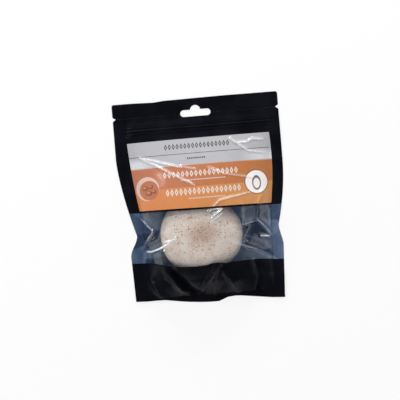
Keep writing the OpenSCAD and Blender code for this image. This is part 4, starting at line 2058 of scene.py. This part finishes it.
@dataclass
class Pouch:
    """The back film, seals, skirt and gusset, which stay where they are."""

    film: FrontFilm
    thick: float = 0.28
    pitch: float = 1.2
    fine_pitch: float = 0.9
    seal_z: float = 0.32
    step_rise: float = 0.1
    step_run: float = 1.5
    fan_rise: float = 3.0
    fan_count: float = 4.2
    fan_low_y: float = -72.0
    fan_high_y: float = 0.0
    gusset_t: float = 0.26
    gusset_r: float = 0.45
    gusset_y: float = -80.0
    gusset_mid_y: float = -88.0
    hem_y: float = -96.0
    gusset_z: float = 0.32
    gusset_stations: int = 90
    gusset_steps: int = 9
    low_inset: float = 0.1
    high_inset: float = 0.3

    def back(self, hole: HangHole) -> Piece:
        """Makes the back film, blue-grey inside and black outside.

        Args:
            hole: The hang hole, which cuts into it.

        Returns:
            The piece.
        """
        edges = (edge_of(side, True) for side in Side)
        x, y = patch_grid(LEAF_FOOT, TEAR, *edges, self.pitch)
        foot = LEAF_FOOT.at(x)
        share = clamp01((PLAN.waist_y - y) / (PLAN.waist_y - foot))
        y = y + share**6 * (PLAN.leaf_y(x, self.film.sponge_x) - foot)
        z = self.film.lay(x, y) + self.creases(x, y)
        piece = sheet("back_film_sheet", np.stack([x, y, z], -1), self.thick, two_faced=True)
        hole.cut(piece)
        # Stores the window facets' painted shade and reflection for the finish.
        store(piece, "tone", facet_light_at)
        return set_on(piece, Body.POUCH, "black_film", "back_film", InnerFilm(), BlackFilm())

    def creases(self, x: Array, y: Array) -> Array:
        """Works out the back film's own folds beside the sponge.

        Args:
            x: Plan X.
            y: Plan Y.

        Returns:
            Their height at each place.
        """
        off_x, off_y = x - self.film.sponge_x, y - self.film.sponge_y
        left, right = PLAN.feet(y)
        room = smooth((np.hypot(off_x, off_y) - self.film.sponge_r - 1) / 6)
        room = room * smooth((y - self.fan_low_y) / 8) * smooth((self.fan_high_y - y) / 10)
        room = room * smooth(np.minimum(x - left, right - x) / 4)
        angle = np.arctan2(off_y, off_x)
        turn = (angle * self.fan_count + 0.4 * np.sin(angle * 3)) / np.pi + 0.3
        fan = np.abs(turn % 1 - 0.5) * 2
        return self.fan_rise * room * (1 - fan)

    def seal(self, side: Side, part: str, low: FilmLine, high: FilmLine) -> Piece:
        """Makes one welded strip.

        Args:
            side: The side that it runs down.
            part: "upper" beside the panel, or "window".
            low: The line that it starts from.
            high: The line that it ends at.

        Returns:
            The piece, without its looks.
        """
        edges = (edge_of(side, part == "upper"), foot_of(side, -0.05))
        x, y = patch_grid(low, high, *edges[:: -side.value], self.fine_pitch)
        inner = np.abs(x - PLAN.foot(y, side))
        z = self.seal_z + self.film.lay(x, y) + self.step_rise * smooth(1 - inner / self.step_run)
        name = f"{side.name.lower()}_seal_{part}_strip"
        piece = sheet(name, np.stack([x, y, z], -1), self.thick)
        # Stores the window facets' painted shade and reflection for the finish.
        store(piece, "tone", facet_light_at)
        return piece

    def seals(self) -> list[Piece]:
        """Makes the welded strips down both sides.

        Returns:
            The pieces.
        """
        made = []
        for side in Side:
            for part, low, high, finish, slot in (
                ("window", SKIRT_TOP, WINDOW_TOP, SealFilm(), "clear_film"),
                ("upper", WINDOW_TOP, TEAR, BlackFilm(), "black_film"),
            ):
                piece = self.seal(side, part, low, high)
                node = f"{side.name.lower()}_seal_{part}"
                made.append(set_on(piece, Body.POUCH, slot, node, finish))
        return made

    def skirt(self) -> Piece:
        """Makes the front film below the window, folded in a V under the sponge.

        Returns:
            The piece.
        """
        edges = (edge_of(side) for side in Side)
        grid = patch_grid(BOTTOM, SKIRT_TOP, *edges, self.fine_pitch)
        piece = sheet("skirt_film", self.film.at(*grid), self.thick)
        return set_on(piece, Body.POUCH, "black_film", "front_skirt", BlackFilm())

    def gusset(self) -> Piece:
        """Makes the gusset: one ply folded back on itself inside the bottom.

        Returns:
            The piece.
        """
        centre, t, r = self.film.sponge_x, self.gusset_t, self.gusset_r
        mid_z = self.gusset_z + r
        turn = np.radians(np.linspace(-90, 90, self.gusset_steps))
        outer, inner = (
            [(self.gusset_y + s * math.cos(a), mid_z + s * math.sin(a)) for a in angles]
            for s, angles in ((r, turn), (r - t, turn[::-1]))
        )
        ends = [PLAN.edge(np.array(self.hem_y), side) - side.value for side in Side]
        rings = []
        for x in np.linspace(*ends, self.gusset_stations):
            low_y = float(PLAN.leaf_y(np.array(x), centre)) + self.low_inset
            high_y = float(BOTTOM.at(np.array(x))) + self.high_inset
            rise = float(self.film.lay(np.array(x), np.array(self.gusset_mid_y)))
            ring = [(low_y, mid_z - r), *outer, (high_y, mid_z + r),
                    (high_y, mid_z + r - t), *inner, (low_y, mid_z - r + t)]
            rings.append([(x, y, z + rise) for y, z in ring])
        piece = loft("gusset_fold", np.array(rings))
        return set_on(piece, Body.POUCH, "black_film", "bottom_gusset", BlackFilm())

    def build(self, hole: HangHole) -> list[Piece]:
        """Makes every piece that stays with the pouch."""
        return [self.back(hole), *self.seals(), self.skirt(), self.gusset()]


@dataclass
class Header:
    """The tear-off strip above the notches, two plies with the hang hole."""

    film: FrontFilm
    thick: float = 0.27
    ply_gap: float = 0.33
    cols: int = 140
    flat_rows: int = 14
    corner_rows: int = 7
    sag_y: float = 92.5
    weld_y: float = 95.5
    weld_half: float = 0.7
    weld_rise: float = 0.12
    sags: tuple[Point, ...] = (
        (-80, -1.2), (-60, -1.25), (-40, -1.9), (-30, -1.0), (0, -0.7), (30, -0.4), (80, -0.6),
    )

    def edge(self, y: Array, side: Side) -> Array:
        """Works out the strip's side edge, notched below and rounded above.

        Args:
            y: Heights along the pouch.
            side: Which edge.

        Returns:
            The edge's X at each height.
        """
        r = PLAN.corner_r
        over = np.maximum(0.0, y - (PLAN.top_y - r))
        reach = np.abs(PLAN.edge(y, side, True)) - r
        return side.value * (reach + np.sqrt(np.maximum(0.0, r**2 - over**2)))

    def build(self, hole: HangHole) -> list[Piece]:
        """Makes both plies.

        Args:
            hole: The hang hole, which cuts into them.

        Returns:
            The pieces.
        """
        low_y, high_y, r = PLAN.tear_y + 0.01, PLAN.top_y - PLAN.corner_r, PLAN.corner_r
        turn = np.linspace(0, np.pi / 2, self.corner_rows)
        flat = np.linspace(low_y, high_y, self.flat_rows)[:-1]
        rows = np.concatenate([flat, PLAN.top_y - r * (1 - np.sin(turn))])
        y = np.repeat(rows[:, None], self.cols, 1)
        left, right = (self.edge(y, side) for side in Side)
        x = mix(left, right, np.linspace(0, 1, self.cols)[None])
        fall = smooth((y - self.sag_y) / (PLAN.top_y - self.sag_y))
        sag = np.interp(x, *zip(*self.sags)) * fall
        weld = self.weld_rise * np.maximum(0.0, 1 - np.abs(y - self.weld_y) / self.weld_half)
        made = []
        for ply, low, bead in (("back", 0.0, 0.0), ("front", self.ply_gap, weld)):
            z = low + self.film.lay(x, y) + bead
            piece = sheet(f"header_{ply}_sheet", np.stack([x, y + sag, z], -1), self.thick)
            hole.cut(piece)
            made.append(set_on(piece, Body.TEAR, "black_film", f"header_{ply}_ply", BlackFilm()))
        return made


@dataclass
class ZipTrack:
    """The press-to-close track: a rib on the back film, two jaws on the front."""

    flap: Flap
    track_w: float = 8.0
    film_t: float = 0.3
    rib_w: float = 1.2
    rib_h: float = 1.0
    jaw_w: float = 0.8
    jaw_gap: float = 0.4
    back_z: float = 0.3
    front_z: float = 1.9
    head_r: Point = (0.2, 0.25)
    end_inset: float = 8.0
    stations: int = 60

    def section(self, middle: float, base: float, bars: Sequence[Point], up: bool) -> Array:
        """Works out a track's section, its bars round-headed.

        Args:
            middle: The track's Y.
            base: Height of the flange's underside.
            bars: Each bar's shift in Y and its width.
            up: Whether the bars stand on the flange or hang from it.

        Returns:
            Points of (y, z) round the section.
        """
        half = self.track_w / 2
        sign, face = (1, base + self.film_t) if up else (-1, base)
        back = base if up else base + self.film_t
        points = [(middle - half, back), (middle - half, face)]
        for shift, width in bars:
            y0, y1 = middle + shift - width / 2, middle + shift + width / 2
            tall = face + sign * self.rib_h
            neck = tall - sign * self.head_r[1]
            points += [(y0, face), (y0, neck), (y0 + self.head_r[0], tall),
                       (y1 - self.head_r[0], tall), (y1, neck), (y1, face)]
        points += [(middle + half, face), (middle + half, back)]
        return np.array(points if up else points[::-1])[::-1]

    def build(self) -> list[Piece]:
        """Makes both halves of the track.

        Returns:
            The pieces.
        """
        low_y = PLAN.zip_y - self.track_w / 2
        x0 = float(PLAN.foot(np.array(low_y), Side.LEFT)) + self.end_inset
        stations = np.linspace(x0, -x0, self.stations)
        beside = self.rib_w / 2 + self.jaw_gap + self.jaw_w / 2
        rib = self.section(PLAN.zip_y, self.back_z, [(0.0, self.rib_w)], True)
        jaws = [(-beside, self.jaw_w), (beside, self.jaw_w)]
        grip = self.section(PLAN.zip_y, self.front_z, jaws, False)
        back, front = (
            loft(name, np.array([[(x, y, z) for y, z in section] for x in stations]))
            for name, section in (("zip_rib_track", rib), ("zip_jaw_track", grip))
        )
        outfit(front, "zip_track", "zip_front_track", TrackPlastic())
        set_on(back, Body.POUCH, "zip_track", "zip_back_track", TrackPlastic())
        return [back, self.flap.hang(front)]


@dataclass
class Sponge:
    """The konjac sponge: a foam dome with walnut grains set in it."""

    film: FrontFilm
    heel_r: float = 3.0
    rings: int = 70
    spokes: int = 150
    grains: int = 120
    seed: int = 11
    dent: float = 0.16
    drop: float = 0.2
    shrink: float = 0.6
    grain_power: float = 0.62
    grain_reach: float = 0.9
    grain_r: Point = (0.28, 0.75)
    grain_uneven: Point = (0.7, 1.25)
    grain_waist: Point = (0.87, 0.5)
    grain_sink: float = 0.45
    grain_sides: int = 6

    WAVES: ClassVar[tuple[Peak, ...]] = ((3, 0.35, 0.5), (5, 0.25, 2.0), (9, 0.15, 0.0))

    def radial(self) -> Array:
        """Works out the dome's section, from the middle down.

        Returns:
            Rows of radius and height.
        """
        film, heel_r = self.film, self.heel_r
        r, power = film.sponge_r, film.dome_power
        turn = np.linspace(0, np.pi / 2, 6)
        share = np.cos(np.linspace(np.pi / 2, 0, self.rings - 14)) ** (2 / power)
        crown = mix(film.side_h, film.dome_h, np.sqrt(clamp01(1 - share**power)))
        lines = (
            (r * share[1:], crown[1:]),
            (np.full(5, r), np.linspace(film.side_h, heel_r, 7)[1:-1]),
            (r - heel_r * (1 - np.cos(turn)), heel_r * (1 - np.sin(turn))),
            (np.linspace(r - heel_r, 0, 6)[1:-1], np.zeros(4)),
        )
        return np.concatenate([np.stack(line, -1) for line in lines])

    def skin(self) -> Array:
        """Works out the sponge's outside, pressed a little out of round.

        Returns:
            Rings of points.
        """
        film = self.film
        angle = np.linspace(0, 2 * np.pi, self.spokes, endpoint=False)
        r, h = np.split(self.radial(), 2, axis=1)
        wave = sum(rise * np.sin(turns * angle + start) for turns, rise, start in self.WAVES)
        soft = self.dent * np.sin(r / 3.1 + 4 * angle) * np.sin(r / 4.3 - 3 * angle + h / 5)
        out = r + np.minimum(0, wave - self.shrink) * (r / film.sponge_r) ** 2
        top = np.where(h > 0.5, h + soft - self.drop, h)
        return np.stack([
            film.sponge_x + out * np.cos(angle),
            film.sponge_y + out * np.sin(angle),
            film.sponge_base + np.maximum(top, 0.0),
        ], -1)

    def foam(self) -> Piece:
        """Makes the sponge without its grains.

        Returns:
            The piece.
        """
        film, skin = self.film, self.skin()
        rows, cols = skin.shape[:2]
        head = [[film.sponge_x, film.sponge_y, film.sponge_base + film.dome_h - self.drop]]
        foot = [[film.sponge_x, film.sponge_y, film.sponge_base]]
        last = 1 + (rows - 1) * cols
        turns = [(j, (j + 1) % cols) for j in range(cols)]
        faces = [[0, 1 + j, 1 + after] for j, after in turns]
        faces += ring_faces(rows, cols, 1)
        faces += [[last + j, rows * cols + 1, last + after] for j, after in turns]
        foam = add_mesh("sponge_foam", np.concatenate([head, skin.reshape(-1, 3), foot]), faces)
        shade(foam, 80)
        outfit(foam, "sponge_gel", "sponge", SpongeGel())
        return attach(foam, Body.SPONGE.value)

    def grain_cluster(self) -> Piece:
        """Makes the walnut grains as one piece of small, uneven lumps.

        Returns:
            The piece.
        """
        film, noise = self.film, np.random.default_rng(self.seed)
        sides, (wide, high) = self.grain_sides, self.grain_waist
        turn = np.linspace(0, 2 * math.pi, sides, endpoint=False)
        ball = [(0, 0, 1), (0, 0, -1)]
        ball += [(math.cos(a) * wide, math.sin(a) * wide, z) for z in (high, -high) for a in turn]
        ball = np.array(ball)
        pairs = [(j, (j + 1) % sides) for j in range(sides)]
        face = [[0, 2 + j, 2 + after] for j, after in pairs]
        face += [[1, 2 + sides + after, 2 + sides + j] for j, after in pairs]
        face += ring_faces(2, sides, 2)
        points, faces = [], []
        for i in range(self.grains):
            away = self.grain_reach * (i / self.grains) ** self.grain_power * film.sponge_r
            angle = i * math.pi * (3 - math.sqrt(5)) + noise.uniform(-0.2, 0.2)
            size = noise.uniform(*self.grain_r)
            lump = ball * noise.uniform(*self.grain_uneven, ball.shape) * size
            x = film.sponge_x + away * math.cos(angle)
            y = film.sponge_y + away * math.sin(angle)
            z = float(film.dome(np.array(x), np.array(y))) - self.drop
            z -= self.grain_sink * size
            points.append(lump + (x, y, z))
            faces += [[i * len(ball) + k for k in corners] for corners in face]
        grains = add_mesh("walnut_flecks", np.concatenate(points), faces)
        shade(grains, 60)
        return set_on(grains, Body.SPONGE, "walnut", "walnut_grains", WalnutShell())

    def build(self) -> list[Piece]:
        """Makes the sponge and its grains."""
        return [self.foam(), self.grain_cluster()]


@dataclass(frozen=True)
class Lamp:
    """One soft box, aimed at the pouch."""

    name: str
    place: tuple[float, float, float]
    size: Point
    watts: float


@dataclass
class Studio:
    """The pale floor, the soft boxes, the world and the camera."""

    roll_deg: float = 4.75
    height: float = 1.0
    view_w: float = 0.3879
    centre: Point = (-0.0025, 0.0003)
    floor_half: float = 6.0
    floor_gap: float = 0.05
    floor_white: float = 0.72
    floor_mirror: float = 0.28
    haze_aim: tuple[float, float, float] = (0.86, 0.27, 0.43)
    lamps: tuple[Lamp, ...] = (
        Lamp("left_box", (-0.9, 0.78, 0.7), (0.14, 0.14), 4.0),
        Lamp("far_left_box", (-0.18, 1.28, 0.4), (0.16, 0.1), 4.0),
        Lamp("far_right_box", (0.32, 1.26, 0.42), (0.16, 0.1), 4.0),
        Lamp("low_left_box", (-0.98, -0.82, 0.24), (0.2, 0.1), 1.0),
    )

    def camera(self) -> None:
        """Sets the camera over the pouch, turned as the photograph is."""
        data = bpy.data.cameras.new("camera")
        data.sensor_width = 36.0
        data.lens = 36.0 * self.height / self.view_w
        camera = bpy.data.objects.new("camera", data)
        camera.location = (*self.centre, self.height)
        camera.rotation_euler = (0.0, 0.0, -math.radians(self.roll_deg))
        bpy.context.scene.collection.objects.link(camera)
        bpy.context.scene.camera = camera

    def floor(self) -> None:
        """Lays a wide pale floor that shows white and keeps the pouch's shadow."""
        corners = [(-1, -1, 0), (1, -1, 0), (1, 1, 0), (-1, 1, 0)]
        points = np.array(corners) * self.floor_half / MM - (0, 0, self.floor_gap)
        floor = add_mesh("floor", points, [[0, 1, 2, 3]])
        shader = Shader(bpy.data.materials.new("PaleFloor"))
        seen, mirrored, through = shader.rays()
        mask = seen.most(mirrored * self.floor_mirror).most(through) * self.floor_white
        diffuse = shader.out(0, "ShaderNodeBsdfDiffuse", values={"Color": (0.86, 0.86, 0.86)})
        glow = shader.out(0, "ShaderNodeEmission", values={"Color": WHITE, "Strength": 1.0})
        blend = shader.out(0, "ShaderNodeMixShader", values={0: mask, 1: diffuse, 2: glow})
        shader.node("ShaderNodeOutputMaterial", values={"Surface": blend})
        floor.data.materials.append(shader.owner)

    def world(self) -> None:
        """Makes a white surround that is dim overhead, like an open light tent."""
        world = bpy.data.worlds.new("tent")
        bpy.context.scene.world = world
        shader = Shader(world)
        camera, glossy, through = shader.rays()
        where = shader.out("Generated", "ShaderNodeTexCoord")
        _, ahead, up = shader.parts(where)
        mirror = glossy.most(through)
        tent = up.step(0.55, 0.1) * ahead.step(-0.6, 0.4)
        aim = shader.out("Value", "ShaderNodeVectorMath", {"operation": "DOT_PRODUCT"}, {
            0: where, 1: self.haze_aim})
        haze = aim.step(0.88, 0.98)
        strength = camera.most(mirror * (tent * 0.7 + haze * 0.4 + 0.03)).most((1 - mirror) * 0.86)
        back = shader.out(0, "ShaderNodeBackground", values={"Color": WHITE, "Strength": strength})
        shader.node("ShaderNodeOutputWorld", values={"Surface": back})

    def lights(self) -> None:
        """Hangs the soft boxes round the pouch."""
        for lamp in self.lamps:
            data = bpy.data.lights.new(lamp.name, "AREA")
            data.shape = "RECTANGLE"
            data.size, data.size_y = lamp.size
            data.energy = lamp.watts
            light = bpy.data.objects.new(lamp.name, data)
            light.location = lamp.place
            aim = -light.location
            light.rotation_mode = "QUATERNION"
            light.rotation_quaternion = aim.to_track_quat("-Z", "Y")
            bpy.context.scene.collection.objects.link(light)

    def build(self) -> None:
        """Makes the whole set."""
        bpy.context.scene.view_settings.view_transform = "Standard"
        self.camera()
        self.floor()
        self.world()
        self.lights()


def main() -> None:
    """Builds the classes in order and reports each piece."""
    logging.basicConfig(level=logging.INFO, format="%(name)s: %(message)s")
    Studio().build()
    low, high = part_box("sponge")
    centre = (low + high) / 2 / MM
    film = FrontFilm(PLAN, centre.x, centre.y, (high.x - low.x) / 2 / MM, low.z / MM)
    film.settle()
    hole = HangHole()
    flap = Flap(film)
    for part in (Pouch(film).build(hole), Header(film).build(hole), flap.build(hole),
                 ZipTrack(flap).build(), Sponge(film).build()):
        for piece in part:
            log.info("%s: %d points", piece.name, len(piece.data.vertices))


if __name__ == "__main__":
    main()
